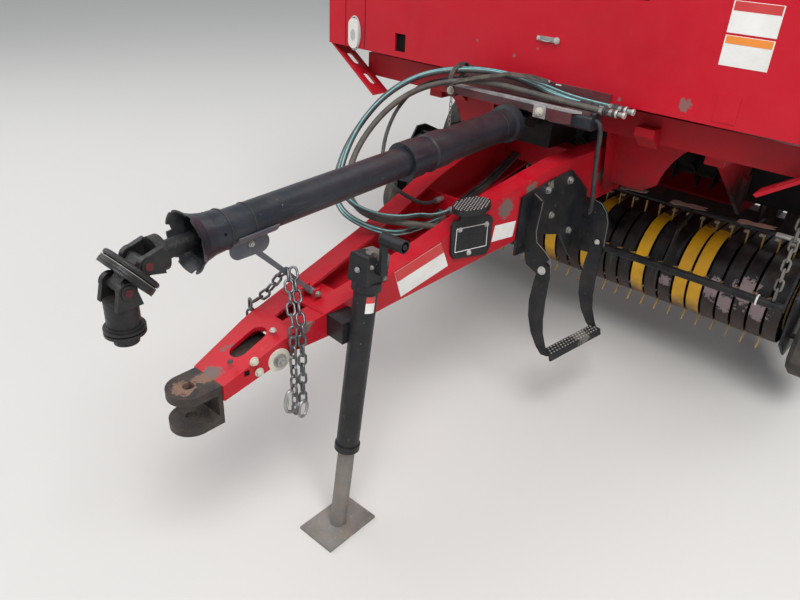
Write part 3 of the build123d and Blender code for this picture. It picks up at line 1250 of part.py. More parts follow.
for side, name in [(1.0, "left"), (-1.0, "right")]:
    with BuildPart() as side_door:
        with BuildSketch(Plane.XZ.offset(-DOOR_Y[1])):
            with BuildLine():
                Polyline(*[(side * x, z) for x, z in shell_section], close=True)
            make_face()
            with Locations((side * DOOR_HINGE[0], DOOR_HINGE[1])):
                Circle(10.0)
        extrude(amount=DOOR_Y[1] - DOOR_Y[0])
        with BuildSketch(side_plane(side * WALL_X)):
            with BuildLine():
                Polyline((DOOR_Y[0], SHIELD_LOW_Z), (DOOR_Y[0], GATE_TOP_Z - 590.0), (190.0, GATE_TOP_Z - 210.0),
                         (DOOR_Y[1], GATE_TOP_Z - 210.0), (DOOR_Y[1], SHIELD_LOW_Z), close=True)
            make_face()
        extrude(amount=side * (SHIELD_X - WALL_X + 10.0), mode=Mode.INTERSECT)
    save(side_door, "side_door_" + name)

GATE_SHIELD_Y = (HINGE_Y - 34.0 + RUNNING_GAP, 1800.0)
gate_section = [(GATE_WALL_X if x < 700.0 else x, z) for x, z in shell_section]
with BuildPart() as tailgate_shields:
    with BuildSketch(Plane.XZ.offset(-GATE_SHIELD_Y[1])):
        with BuildLine():
            Polyline(*gate_section, close=True)
        make_face()
    extrude(amount=GATE_SHIELD_Y[1] - GATE_SHIELD_Y[0])
    with BuildSketch(side_plane(GATE_WALL_X)):
        with BuildLine():
            Polyline((GATE_SHIELD_Y[0], SHIELD_LOW_Z), (GATE_SHIELD_Y[0], GATE_TOP_Z - 190.0),
                     (1150.0, GATE_TOP_Z - 190.0), (1680.0, GATE_TOP_Z - 640.0), (GATE_SHIELD_Y[1], 1720.0),
                     (GATE_SHIELD_Y[1], 1390.0), (1660.0, SHIELD_LOW_Z), close=True)
        make_face()
    extrude(amount=SHIELD_X - GATE_WALL_X, mode=Mode.INTERSECT)
    with BuildSketch(Plane.XZ.offset(-GATE_SHIELD_Y[1])):
        with Locations(((GATE_WALL_X + SHIELD_X) / 2, 1550.0)):
            Rectangle(SHIELD_X - GATE_WALL_X, 300.0)
    extrude(amount=16.0)
    mirror(about=Plane.YZ)
save(tailgate_shields, "tailgate_shields")

# Net box on the tailgate's rear, open at the back, and its lid
BOX_SHEET = 10.0
BOX_LOW_Z = 1050.0
BOX_TOP_Z = 1480.0
BOX_REAR_Y = NET_BOX_REAR_Y - 20.0
BOX_TOP_Y = NET_BOX_REAR_Y - 110.0
BOX_BEND_Z = BOX_TOP_Z - 90.0
with BuildPart() as net_box:
    with BuildSketch(side_plane(-(GATE_WALL_X - WALL_THICKNESS))):
        with BuildLine():
            Polyline((1700.0, BOX_LOW_Z), (BOX_REAR_Y, BOX_LOW_Z), (BOX_REAR_Y, BOX_BEND_Z),
                     (BOX_TOP_Y, BOX_TOP_Z),
                     (1700.0, BOX_TOP_Z), close=True)
        make_face()
        add(gate_outline.sketch_local, mode=Mode.SUBTRACT)
    extrude(amount=2 * (GATE_WALL_X - WALL_THICKNESS))
    with BuildSketch(side_plane(-(GATE_WALL_X - WALL_THICKNESS - BOX_SHEET))):
        with BuildLine():
            Polyline((1700.0, BOX_LOW_Z + BOX_SHEET), (BOX_REAR_Y + 1.0, BOX_LOW_Z + BOX_SHEET),
                     (BOX_REAR_Y + 1.0, BOX_BEND_Z + 10.0), (BOX_TOP_Y, BOX_TOP_Z - BOX_SHEET),
                     (1700.0, BOX_TOP_Z - BOX_SHEET),
                     close=True)
        make_face()
    extrude(amount=2 * (GATE_WALL_X - WALL_THICKNESS - BOX_SHEET), mode=Mode.SUBTRACT)
save(net_box, "net_box")

LID_TUBE_R = 8.0
LID_AXIS = (BOX_TOP_Y - 8.0, BOX_TOP_Z + LID_TUBE_R + SEAT)
with BuildPart() as net_lid:
    with BuildSketch(side_plane(-(GATE_WALL_X - WALL_THICKNESS))):
        with BuildLine():
            Polyline((LID_AXIS[0], LID_AXIS[1] + LID_TUBE_R), (BOX_TOP_Y + 8.0, BOX_TOP_Z + 14.0),
                     (NET_BOX_REAR_Y, BOX_BEND_Z + 12.0), (NET_BOX_REAR_Y, BOX_LOW_Z),
                     (NET_BOX_REAR_Y - 12.0, BOX_LOW_Z), (NET_BOX_REAR_Y - 12.0, BOX_BEND_Z + 7.0),
                     (BOX_TOP_Y + 4.0, BOX_TOP_Z + 4.0), (LID_AXIS[0], LID_AXIS[1]), close=True)
        make_face()
        with Locations(LID_AXIS):
            Circle(LID_TUBE_R)
    extrude(amount=2 * (GATE_WALL_X - WALL_THICKNESS))
save(net_lid, "net_lid")

# Tailgate cylinders: barrels on the rails, rods to the tailgate's walls
cylinder_line = Vector(0.0, ROD_PIN[0] - BARREL_PIN[0], ROD_PIN[1] - BARREL_PIN[1])
cylinder_direction = cylinder_line.normalized()
BARREL_R = 32.0
ROD_R = 16.0
BARREL_END = 780.0
for side, name in [(1.0, "left"), (-1.0, "right")]:
    cylinder_plane = Plane(
        origin=(side * CYLINDER_X, BARREL_PIN[0], BARREL_PIN[1]), x_dir=(1.0, 0.0, 0.0), z_dir=cylinder_direction
    )
    with BuildPart() as barrel:
        with BuildSketch(cylinder_plane.offset(42.0)):
            Circle(BARREL_R)
        extrude(amount=BARREL_END)
        with BuildSketch(cylinder_plane):
            Rectangle(28.0, 36.0)
        extrude(amount=50.0)
        with BuildSketch(cylinder_plane.offset(60.0)):
            Circle(ROD_R + FIT)
        extrude(amount=BARREL_END, mode=Mode.SUBTRACT)
        with BuildSketch(side_plane(side * CYLINDER_X)):
            with Locations(BARREL_PIN):
                Circle(26.0)
        extrude(amount=14.0, both=True)
        with BuildSketch(side_plane(side * (CYLINDER_X - 30.0))):
            with Locations(BARREL_PIN):
                Circle(CYLINDER_PIN_R)
        extrude(amount=side * 30.0)
    save(barrel, "cylinder_barrel_" + name)
    with BuildPart() as rod:
        with BuildSketch(cylinder_plane.offset(420.0)):
            Circle(ROD_R)
        extrude(amount=cylinder_line.length - 420.0 - 20.0)
        with BuildSketch(side_plane(side * CYLINDER_X)):
            with Locations(ROD_PIN):
                Circle(26.0)
                Circle(CYLINDER_PIN_R, mode=Mode.SUBTRACT)
        extrude(amount=14.0, both=True)
    save(rod, "cylinder_rod_" + name)

# Lamps
with BuildPart() as front_reflectors:
    with BuildSketch(Plane.XZ.offset(-SHIELD_Y)):
        with Locations((-987.0, 1294.0), (987.0, 1294.0)):
            SlotOverall(130.0, 60.0, rotation=90.0)
    extrude(amount=14.0)
save(front_reflectors, "front_reflectors")

with BuildPart() as rear_lamps:
    for side in (1.0, -1.0):
        with BuildSketch(Plane.XZ.offset(-GATE_SHIELD_Y[1])):
            with Locations((side * 1020.0, 1620.0)):
                RectangleRounded(220.0, 110.0, 14.0)
        extrude(amount=-28.0)
        for lens_x in (955.0, 1020.0, 1085.0):
            with BuildSketch(Plane.XZ.offset(-(GATE_SHIELD_Y[1] + 28.0))):
                with Locations((side * lens_x, 1620.0)):
                    RectangleRounded(58.0, 94.0, 8.0)
            extrude(amount=-12.0)
save(rear_lamps, "rear_lamps")

# Hoses: free between the tie on the tray and the drawbar, in straight runs and tangent arcs


def cord_radii(points):
    """The largest tangent arcs that the runs beside each point allow."""
    radii = []
    for before, corner, after in zip(points, points[1:], points[2:]):
        run_in = Vector(*corner) - Vector(*before)
        run_out = Vector(*after) - Vector(*corner)
        turn = math.radians(run_in.get_angle(run_out))
        radii.append(0.45 * min(run_in.length, run_out.length) / math.tan(turn / 2))
    return radii


def cord(points, radius, name):
    """A tube along a route of points."""
    radii = cord_radii(points)
    with BuildPart() as tube:
        with BuildLine():
            route = FilletPolyline(*points, radius=radii)
        with BuildSketch(Plane(origin=route @ 0, z_dir=route % 0)):
            Circle(radius)
        sweep()
    section = math.pi * radius**2
    print(name, "radii", [round(r) for r in radii], "length", round(route.length),
          "volume ratio", round(tube.part.volume / (section * route.length), 4))
    save(tube, name)


TIE_Z = TRAY_Z + TRAY_SHEET + CABLE_R + SEAT
hose_routes = {
    "hose_1": (HOSE_R, [
        (330, -440, 1226), (190, -440, 1226), (40, -446, 1234), (-120, -456, 1242), (-255, -515, 1236),
        (-325, -640, 1212), (-335, -790, 1168), (-320, -930, 1100), (-289, -1043, 1022), (-227, -1131, 955),
        (-155, -1150, 896), (-63, -1113, 874), (0, -1021, 858), (60, -905, 828), (60, -831, 828),
    ]),
    "hose_2": (HOSE_R, [
        (330, -370, 1226), (190, -370, 1226), (40, -371, 1252), (-120, -388, 1272), (-270, -450, 1272),
        (-368, -590, 1250), (-395, -750, 1196), (-372, -910, 1118), (-328, -1050, 1036), (-262, -1155, 955),
        (-182, -1208, 906), (-90, -1198, 878), (-26, -1120, 842), (-36, -1012, 818), (-52, -905, 802),
        (-52, -831, 802),
    ]),
    "hose_3": (HOSE_SMALL_R, [
        (230, -405, 1226), (140, -405, 1226), (20, -408, 1256), (-120, -422, 1276), (-262, -482, 1270),
        (-348, -612, 1252), (-366, -768, 1206), (-352, -915, 1140), (-310, -1040, 1066), (-248, -1148, 988),
        (-166, -1190, 938), (-75, -1162, 910), (-14, -1080, 893), (-12, -990, 880), (-4, -905, 852),
        (-4, -831, 852),
    ]),
    "hose_4": (CABLE_R, [
        (-335, -341.5, TIE_Z), (-335, -440, 1223), (-362, -600, 1212), (-352, -735, 1150), (-305, -850, 1080),
        (-245, -935, 1010), (-180, -985, 968), (-118, -975, 930), (-72, -930, 896), (-66, -876, 874),
        (-66, -831, 874),
    ]),
}
for name, (route_radius, route_points) in hose_routes.items():
    cord(route_points, route_radius, name)

# Couplers on the hose ends, seated on the tray's end, and the fittings on the drawbar's bulkhead
FITTINGS = [(60.0, 828.0, 14.0), (-52.0, 802.0, 14.0), (-4.0, 852.0, 12.0), (-66.0, 874.0, 10.0)]
FITTING_LENGTH = 831.0 + BULKHEAD_Y
with BuildPart() as hose_couplers:
    for end_y in (-440.0, -370.0):
        for start_x, length, coupler_r in [(330.0, 34.0, 11.0), (364.0, 30.0, 13.0), (394.0, 26.0, 9.0)]:
            with BuildSketch(side_plane(start_x)):
                with Locations((end_y, HOSE_END_Z)):
                    Circle(coupler_r)
            extrude(amount=length)
    for fitting_x, fitting_z, fitting_r in FITTINGS:
        with BuildSketch(Plane.XZ.offset(-BULKHEAD_Y)):
            with Locations((fitting_x, fitting_z)):
                Circle(fitting_r)
        extrude(amount=FITTING_LENGTH)
save(hose_couplers, "hose_couplers")

# Plug on the third hose, which lies on the tray
with BuildPart() as cable_plug:
    for start_x, length, plug_r in [(230.0, 44.0, 11.0), (274.0, 26.0, 8.5)]:
        with BuildSketch(side_plane(start_x)):
            with Locations((-405.0, HOSE_END_Z)):
                Circle(plug_r)
        extrude(amount=length)
save(cable_plug, "cable_plug")

print("nodes", len(written))
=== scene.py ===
import bpy
import bmesh
import math
import random
from mathutils import Matrix, Vector


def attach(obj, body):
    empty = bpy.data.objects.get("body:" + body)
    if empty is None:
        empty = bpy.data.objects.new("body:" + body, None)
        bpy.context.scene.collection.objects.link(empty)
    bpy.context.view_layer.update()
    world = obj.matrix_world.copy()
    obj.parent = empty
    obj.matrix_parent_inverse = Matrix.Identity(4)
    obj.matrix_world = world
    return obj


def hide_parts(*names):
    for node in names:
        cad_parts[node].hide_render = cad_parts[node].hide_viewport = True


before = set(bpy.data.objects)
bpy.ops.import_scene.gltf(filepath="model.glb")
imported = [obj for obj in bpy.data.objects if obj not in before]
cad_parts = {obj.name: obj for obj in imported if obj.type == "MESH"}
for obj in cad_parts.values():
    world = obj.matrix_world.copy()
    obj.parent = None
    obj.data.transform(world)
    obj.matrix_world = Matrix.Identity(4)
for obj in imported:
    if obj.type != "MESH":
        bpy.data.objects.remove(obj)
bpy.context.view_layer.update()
rng = random.Random(7)
scene = bpy.context.scene
scene.view_settings.view_transform = "Standard"

# Camera: its place, where it looks and its right side, solved from the photograph
CAMERA = Vector((1.41479, -2.76109, 1.81119))
LOOK = Vector((-0.56122525, 0.66775437, -0.48900953))
RIGHT = Vector((0.74645825, 0.66359179, 0.04945731))
camera_data = bpy.data.cameras.new("camera")
camera_data.lens = 31.54
camera_data.sensor_width = 36.0
camera_data.clip_start = 0.05
camera_data.clip_end = 100.0
camera = bpy.data.objects.new("camera", camera_data)
scene.collection.objects.link(camera)
up = RIGHT.cross(LOOK).normalized()
turn = Matrix((RIGHT, up, -LOOK)).transposed().to_4x4()
camera.matrix_world = Matrix.Translation(CAMERA) @ turn
scene.camera = camera


# Materials

def node(tree, kind, **values):
    made = tree.nodes.new(kind)
    for key, value in values.items():
        setattr(made, key, value)
    return made


def noise(tree, coords, scale, detail, rough=0.55, stretch=None):
    texture = node(tree, "ShaderNodeTexNoise")
    texture.inputs["Scale"].default_value = scale
    texture.inputs["Detail"].default_value = detail
    texture.inputs["Roughness"].default_value = rough
    source = coords
    if stretch is not None:
        mapping = node(tree, "ShaderNodeMapping")
        mapping.inputs["Scale"].default_value = stretch
        tree.links.new(coords, mapping.inputs["Vector"])
        source = mapping.outputs["Vector"]
    tree.links.new(source, texture.inputs["Vector"])
    return texture.outputs["Fac"]


def ramp(tree, source, low, high, out_low=0.0, out_high=1.0):
    made = node(tree, "ShaderNodeMapRange", clamp=True)
    made.inputs["From Min"].default_value = low
    made.inputs["From Max"].default_value = high
    made.inputs["To Min"].default_value = out_low
    made.inputs["To Max"].default_value = out_high
    tree.links.new(source, made.inputs["Value"])
    return made.outputs["Result"]


def calc(tree, operation, a, b):
    made = node(tree, "ShaderNodeMath", operation=operation, use_clamp=operation == "ADD")
    for slot, value in ((0, a), (1, b)):
        if isinstance(value, (int, float)):
            made.inputs[slot].default_value = value
        else:
            tree.links.new(value, made.inputs[slot])
    return made.outputs[0]


def mix(tree, factor, a, b):
    made = node(tree, "ShaderNodeMix", data_type="RGBA")
    tree.links.new(factor, made.inputs[0])
    for slot, value in ((6, a), (7, b)):
        if isinstance(value, tuple):
            made.inputs[slot].default_value = (*value, 1.0)
        else:
            tree.links.new(value, made.inputs[slot])
    return made.outputs[2]


GRIME_SCALE = 14.0
DUST_HEIGHTS = (0.2, 1.5)
SPECKLE_COLOUR = (0.42, 0.43, 0.45)


def surface(name, base, second, metallic=0.0, rough=0.45, rough_spread=0.15, dust=0.25,
            dust_colour=(0.30, 0.24, 0.17), low_dust=0.3, chips=0.0, chip_colour=(0.10, 0.075, 0.06),
            bump=0.02, bump_scale=120.0, streak=0.0, streak_colour=(0.30, 0.30, 0.29),
            streak_stretch=(60.0, 3.0, 60.0), coat=0.0, variation=6.0, worn=(),
            worn_colour=(0.20, 0.17, 0.15), low_tone=None, speckle=0.0, top_dust=0.05, shine=0.5):
    """A worn surface: two base tones, streaks, dust that lies low and on top faces, bare patches, flecks
    and chips.

    worn holds centre x, y, z and radius of the patches where the paint has gone, in metres, and low_tone
    a colour with the heights where it starts and is full."""
    made = bpy.data.materials.new(name)
    made.use_nodes = True
    tree = made.node_tree
    shader = tree.nodes["Principled BSDF"]
    coords = node(tree, "ShaderNodeTexCoord").outputs["Object"]
    place = node(tree, "ShaderNodeSeparateXYZ")
    tree.links.new(coords, place.inputs[0])
    normal = node(tree, "ShaderNodeSeparateXYZ")
    tree.links.new(node(tree, "ShaderNodeNewGeometry").outputs["Normal"], normal.inputs[0])
    tone = ramp(tree, noise(tree, coords, variation, 5.0), 0.35, 0.68)
    colour = mix(tree, tone, base, second)
    if streak:
        lines = ramp(tree, noise(tree, coords, 1.0, 3.0, 0.6, streak_stretch), 0.60, 0.70)
        colour = mix(tree, calc(tree, "MULTIPLY", lines, streak), colour, streak_colour)
    grime = noise(tree, coords, GRIME_SCALE, 8.0, 0.65)
    height = ramp(tree, place.outputs["Z"], *DUST_HEIGHTS, low_dust, 0.0)
    facing = ramp(tree, normal.outputs["Z"], 0.3, 1.0, 0.0, top_dust)
    amount = calc(tree, "ADD", calc(tree, "ADD", height, facing), dust)
    patches = ramp(tree, grime, 0.40, 0.72)
    dusty = calc(tree, "MULTIPLY", patches, amount)
    colour = mix(tree, dusty, colour, dust_colour)
    roughness = ramp(tree, grime, 0.3, 0.75, rough, min(1.0, rough + rough_spread))
    if low_tone:
        low_colour, start, full = low_tone
        share = calc(tree, "ADD", ramp(tree, place.outputs["Z"], full, start, 1.0, 0.0),
                     ramp(tree, grime, 0.3, 0.7, -0.25, 0.25))
        colour = mix(tree, share, colour, low_colour)
    if worn:
        bare = None
        for *centre, radius in worn:
            apart = node(tree, "ShaderNodeVectorMath", operation="DISTANCE")
            tree.links.new(coords, apart.inputs[0])
            apart.inputs[1].default_value = centre
            near = ramp(tree, apart.outputs["Value"], 0.0, radius, 1.0, 0.0)
            bare = near if bare is None else calc(tree, "MAXIMUM", bare, near)
        scaled = calc(tree, "MULTIPLY", bare, 0.8)
        rim = ramp(tree, noise(tree, coords, 55.0, 8.0, 0.7), 0.3, 0.7, 0.0, 0.5)
        ragged = ramp(tree, calc(tree, "ADD", scaled, rim), 0.62, 0.70)
        colour = mix(tree, ragged, colour, worn_colour)
        roughness = calc(tree, "ADD", roughness, calc(tree, "MULTIPLY", ragged, 0.2))
    if speckle:
        start = 0.70 - 0.1 * speckle
        flecks = ramp(tree, noise(tree, coords, 130.0, 6.0, 0.75), start, 0.72 - 0.1 * speckle)
        colour = mix(tree, flecks, colour, SPECKLE_COLOUR)
    if chips:
        start = 0.735 - 0.14 * chips
        spots = ramp(tree, noise(tree, coords, 42.0, 9.0, 0.7), start, 0.755 - 0.14 * chips)
        colour = mix(tree, spots, colour, chip_colour)
        roughness = calc(tree, "ADD", roughness, calc(tree, "MULTIPLY", spots, 0.35))
    tree.links.new(colour, shader.inputs["Base Color"])
    tree.links.new(roughness, shader.inputs["Roughness"])
    shader.inputs["Metallic"].default_value = metallic
    shader.inputs["Coat Weight"].default_value = coat
    shader.inputs["Coat Roughness"].default_value = 0.25
    shader.inputs["Specular IOR Level"].default_value = shine
    relief = node(tree, "ShaderNodeBump")
    relief.inputs["Strength"].default_value = 0.6
    relief.inputs["Distance"].default_value = bump * 0.05
    tree.links.new(noise(tree, coords, bump_scale, 6.0, 0.6), relief.inputs["Height"])
    tree.links.new(relief.outputs["Normal"], shader.inputs["Normal"])
    return made


red = surface("red_worn", (0.46, 0.003, 0.014), (0.36, 0.003, 0.012), rough=0.38, dust=0.03, low_dust=0.10,
              dust_colour=(0.24, 0.10, 0.08), chips=0.10, chip_colour=(0.12, 0.04, 0.035), bump=0.015, shine=0.3,
              bump_scale=60.0, variation=3.0, worn_colour=(0.15, 0.10, 0.09), worn=[
                  (0.0, -1.875, 0.655, 0.055), (0.06, -1.745, 0.735, 0.050), (-0.04, -1.80, 0.70, 0.045),
                  (0.185, -0.74, 0.895, 0.075), (0.20, -0.60, 0.935, 0.060), (0.245, -0.14, 0.90, 0.055),
                  (0.10, -1.61, 0.735, 0.045), (0.62, -0.225, 1.12, 0.060)])
red_clean = surface("red_panel", (0.50, 0.003, 0.016), (0.42, 0.003, 0.014), rough=0.36, dust=0.02,
                    dust_colour=(0.30, 0.16, 0.14), bump=0.012, bump_scale=9.0, coat=0.05, shine=0.3,
                    low_dust=0.05, variation=2.2, worn=[
                        (0.574, -0.333, 1.278, 0.040), (-0.30, -0.333, 1.36, 0.010), (-0.12, -0.333, 1.33, 0.014),
                        (-0.02, -0.333, 1.37, 0.010), (0.34, -0.333, 1.25, 0.012), (0.70, -0.333, 1.46, 0.012)],
                    worn_colour=(0.22, 0.10, 0.09))
# Red for the frame and chamber walls; its low_tone turns it near-black below z 0.97 m as painted shade of the
# shadowed underside, partly dirt.
red_low_painted_shade = surface("red_low_painted_shade", (0.42, 0.003, 0.012), (0.32, 0.004, 0.011), rough=0.4, shine=0.3, dust=0.03,
                    dust_colour=(0.20, 0.10, 0.08), chips=0.12, chip_colour=(0.10, 0.04, 0.035), low_dust=0.05,
                    bump_scale=60.0, variation=3.0, low_tone=((0.022, 0.011, 0.010), 0.97, 0.78))
black_metal = surface("black_worn", (0.006, 0.007, 0.009), (0.013, 0.014, 0.018), rough=0.34, dust=0.02,
                      low_dust=0.05, chips=0.14, chip_colour=(0.11, 0.09, 0.08), bump=0.03, shine=0.3, speckle=0.35,
                      worn=[(0.22, -0.50, 0.93, 0.04), (0.40, -0.40, 0.31, 0.09), (0.20, -1.43, 0.96, 0.10)],
                      worn_colour=(0.15, 0.14, 0.12))
# Near-black for the feed rotor and plates: painted shade, their colour darkened to the shadow inside the feed throat.
painted_shade_metal = surface("painted_shade_metal", (0.005, 0.005, 0.006), (0.012, 0.009, 0.008), rough=0.6, dust=0.02,
                     low_dust=0.0, shine=0.15, chips=0.1, chip_colour=(0.05, 0.03, 0.02))
band_metal = surface("band_worn", (0.006, 0.006, 0.007), (0.016, 0.015, 0.016), shine=0.35, rough=0.28, dust=0.02,
                     low_dust=0.0, chips=0.10, chip_colour=(0.10, 0.07, 0.06), bump=0.03, variation=14.0,
                     low_tone=((0.040, 0.022, 0.018), 0.46, 0.34), streak=0.4, streak_colour=(0.12, 0.11, 0.11),
                     streak_stretch=(90.0, 6.0, 6.0), worn=[
                         (0.715, 0.125, 0.47, 0.09), (0.780, 0.115, 0.42, 0.08), (0.845, 0.13, 0.50, 0.10),
                         (0.52, 0.12, 0.43, 0.05), (0.585, 0.20, 0.60, 0.06), (0.910, 0.115, 0.44, 0.09)],
                     worn_colour=(0.27, 0.20, 0.21))
dark_grey = surface("grey_worn", (0.10, 0.105, 0.11), (0.16, 0.16, 0.16), rough=0.5, dust=0.3, chips=0.3,
                    chip_colour=(0.20, 0.11, 0.06), bump=0.04)
yellow = surface("yellow_worn", (0.80, 0.44, 0.006), (0.72, 0.36, 0.006), rough=0.36, dust=0.02, low_dust=0.05,
                 chips=0.22, chip_colour=(0.16, 0.08, 0.02), low_tone=((0.16, 0.085, 0.03), 0.40, 0.31), worn=[
                     (0.39, 0.40, 0.64, 0.12), (0.585, 0.42, 0.64, 0.16), (0.650, 0.42, 0.64, 0.16),
                     (0.13, 0.42, 0.64, 0.12)], worn_colour=(0.10, 0.06, 0.03))
rim_paint = surface("rim_worn", (0.62, 0.60, 0.55), (0.52, 0.50, 0.45), low_dust=0.35, chips=0.15)
zinc = surface("zinc", (0.42, 0.42, 0.41), (0.28, 0.27, 0.26), metallic=0.75, rough=0.34, dust=0.12, low_dust=0.2,
               bump=0.03, variation=18.0)
galvanised = surface("galvanised", (0.27, 0.26, 0.25), (0.14, 0.13, 0.12), metallic=0.45, rough=0.5, dust=0.25,
                     low_dust=0.3, bump=0.05, streak=0.5, streak_colour=(0.42, 0.41, 0.40),
                     streak_stretch=(70.0, 70.0, 5.0))
rusty = surface("rusty", (0.026, 0.023, 0.024), (0.055, 0.038, 0.031), metallic=0.35, rough=0.42, dust=0.05,
                low_dust=0.05, chips=0.35, chip_colour=(0.15, 0.06, 0.03), bump=0.08, variation=22.0, worn=[
                    (0.0, -1.965, 0.648, 0.060), (0.0, -1.90, 0.648, 0.05)], worn_colour=(0.22, 0.13, 0.09))
dark_cast = surface("dark_cast", (0.007, 0.007, 0.008), (0.017, 0.017, 0.018), metallic=0.1, rough=0.34,
                    dust=0.02, low_dust=0.03, shine=0.4, chips=0.12, chip_colour=(0.10, 0.06, 0.05), bump=0.07,
                    variation=24.0)
cap_red = surface("cap_red", (0.10, 0.003, 0.010), (0.06, 0.003, 0.007), rough=0.35, dust=0.02, shine=0.3,
                  chips=0.1)
plastic = surface("black_plastic", (0.008, 0.011, 0.016), (0.016, 0.021, 0.029), rough=0.30, dust=0.02,
                  low_dust=0.03, bump=0.04, bump_scale=80.0, shine=0.4, streak=0.25,
                  streak_colour=(0.07, 0.08, 0.10), streak_stretch=(55.0, 4.0, 55.0), speckle=0.15)
rubber_hose = surface("hose_rubber", (0.020, 0.023, 0.027), (0.045, 0.05, 0.055), rough=0.42, dust=0.08,
                      bump=0.05, bump_scale=500.0, variation=30.0)
brown_hose = surface("hose_brown", (0.075, 0.070, 0.060), (0.045, 0.043, 0.040), rough=0.5, dust=0.15, bump=0.05,
                     bump_scale=500.0, variation=20.0)
cyan_stripe = surface("hose_stripe", (0.10, 0.40, 0.42), (0.30, 0.52, 0.52), rough=0.5, dust=0.1, chips=0.4,
                      chip_colour=(0.04, 0.05, 0.05), variation=40.0)
tyre_rubber = surface("tyre_rubber", (0.020, 0.020, 0.020), (0.045, 0.042, 0.038), rough=0.75, dust=0.22,
                      low_dust=0.45, dust_colour=(0.17, 0.13, 0.095), bump=0.1, bump_scale=60.0)
tine_steel = surface("tine_steel", (0.46, 0.27, 0.06), (0.20, 0.13, 0.05), metallic=0.2, dust=0.05)
# The hose tray's dark red is painted shade of its shadowed fascia, mixed with worn black-grey tones and dust on top.
tray_red_worn_and_painted_shade = surface("tray_red_worn_and_painted_shade", (0.11, 0.010, 0.014), (0.045, 0.030, 0.032), rough=0.5, dust=0.15, top_dust=0.3,
                   dust_colour=(0.14, 0.12, 0.11), chips=0.3, chip_colour=(0.10, 0.08, 0.08), bump=0.05)
chain_steel = surface("chain_steel", (0.20, 0.20, 0.21), (0.07, 0.07, 0.075), metallic=0.8, rough=0.32, dust=0.05,
                      low_dust=0.05, bump=0.02, variation=60.0)
rest_blue = surface("rest_plate", (0.075, 0.088, 0.115), (0.10, 0.11, 0.13), rough=0.42, dust=0.08, chips=0.15,
                    bump=0.03)
chrome = surface("chrome_rod", (0.72, 0.72, 0.73), (0.6, 0.6, 0.62), metallic=1.0, rough=0.12, rough_spread=0.08,
                 dust=0.05, low_dust=0.0)
worn_edge = surface("worn_edge", (0.36, 0.35, 0.35), (0.16, 0.15, 0.15), rough=0.55, dust=0.15, low_dust=0.0,
                    chips=0.5, chip_colour=(0.06, 0.05, 0.05), bump=0.08, variation=30.0)
bright_steel = surface("bright_steel", (0.62, 0.61, 0.58), (0.50, 0.49, 0.46), metallic=0.55, rough=0.35,
                       dust=0.08, low_dust=0.0, bump=0.03, variation=30.0)
nut_white = surface("nut_white", (0.66, 0.62, 0.52), (0.50, 0.47, 0.40), metallic=0.2, rough=0.5, dust=0.1,
                    chips=0.2)
# Flat black: painted shade in the holes, behind the open slot and behind the pickup's bands, and also the colour of
# the front shield's dark seams.
shade_and_seam_black = surface("shade_and_seam_black", (0.006, 0.006, 0.006), (0.008, 0.008, 0.008), rough=0.9, dust=0.0, low_dust=0.0,
                    top_dust=0.0, shine=0.1)
white_label = surface("label_white", (0.78, 0.77, 0.74), (0.68, 0.67, 0.63), rough=0.5, dust=0.12, low_dust=0.1)
red_label = surface("label_red", (0.55, 0.03, 0.035), (0.48, 0.03, 0.03), rough=0.5, dust=0.1, low_dust=0.05)
orange_label = surface("label_orange", (0.78, 0.25, 0.03), (0.70, 0.22, 0.03), rough=0.5, dust=0.1, low_dust=0.05)
black_label = surface("label_black", (0.015, 0.015, 0.015), (0.03, 0.03, 0.03), dust=0.15, low_dust=0.1)
grey_label = surface("label_grey", (0.40, 0.41, 0.42), (0.34, 0.35, 0.36), rough=0.5, dust=0.1)
LENS = dict(rough=0.15, dust=0.1, low_dust=0.0, coat=0.5)
lens_white = surface("lens_white", (0.72, 0.70, 0.66), (0.62, 0.60, 0.56), **LENS)
lens_amber = surface("lens_amber", (0.80, 0.20, 0.02), (0.70, 0.16, 0.02), **LENS)
lens_red = surface("lens_red", (0.55, 0.015, 0.02), (0.45, 0.012, 0.016), **LENS)
strap_pink = surface("strap", (0.36, 0.20, 0.16), (0.26, 0.13, 0.10), rough=0.8, dust=0.2)
pad_rubber = surface("pad_rubber", (0.016, 0.016, 0.017), (0.035, 0.035, 0.035), rough=0.65, dust=0.3, bump=0.25,
                     bump_scale=220.0)

NODE_MATERIALS = {
    red: ["drawbar", "hitch_nose", "lower_shields", "chamber_roof", "tailgate_frame", "tailgate_skin", "net_box"],
    red_low_painted_shade: ["main_frame", "chamber_walls"],
    red_clean: ["front_shield", "side_door_left", "side_door_right", "tailgate_shields", "net_lid"],
    rusty: ["hitch_clevis"],
    black_metal: ["jack_tube", "step_bracket", "folding_step", "tread_plate", "jack_crank", "cylinder_barrel_left",
                  "cylinder_barrel_right", "pickup_frame", "windguard"],
    painted_shade_metal: ["feed_rotor", "feed_plates"],
    band_metal: ["stripper_bands"],
    galvanised: ["jack_leg"],
    zinc: ["safety_chain", "windguard_chain", "hose_couplers"],
    rest_blue: ["pto_rest"],
    tray_red_worn_and_painted_shade: ["hose_tray"],
    plastic: ["pto_guard_rear", "pto_guard_front", "tray_block"],
    dark_cast: ["gearbox", "cv_inner_yoke", "cv_centre", "cv_outer_yoke"],
    rubber_hose: ["hose_1", "hose_2", "hose_3", "hose_4"],
    lens_white: ["front_reflectors"],
    pad_rubber: ["cable_plug"],
    lens_red: ["rear_lamps"],
    chrome: ["cylinder_rod_left", "cylinder_rod_right"],
    yellow: ["yellow_bands"],
    tine_steel: ["tine_reel"],
    tyre_rubber: ["gauge_wheel_left", "gauge_wheel_right", "tyre_left", "tyre_right"],
    rim_paint: ["rim_left", "rim_right"],
}
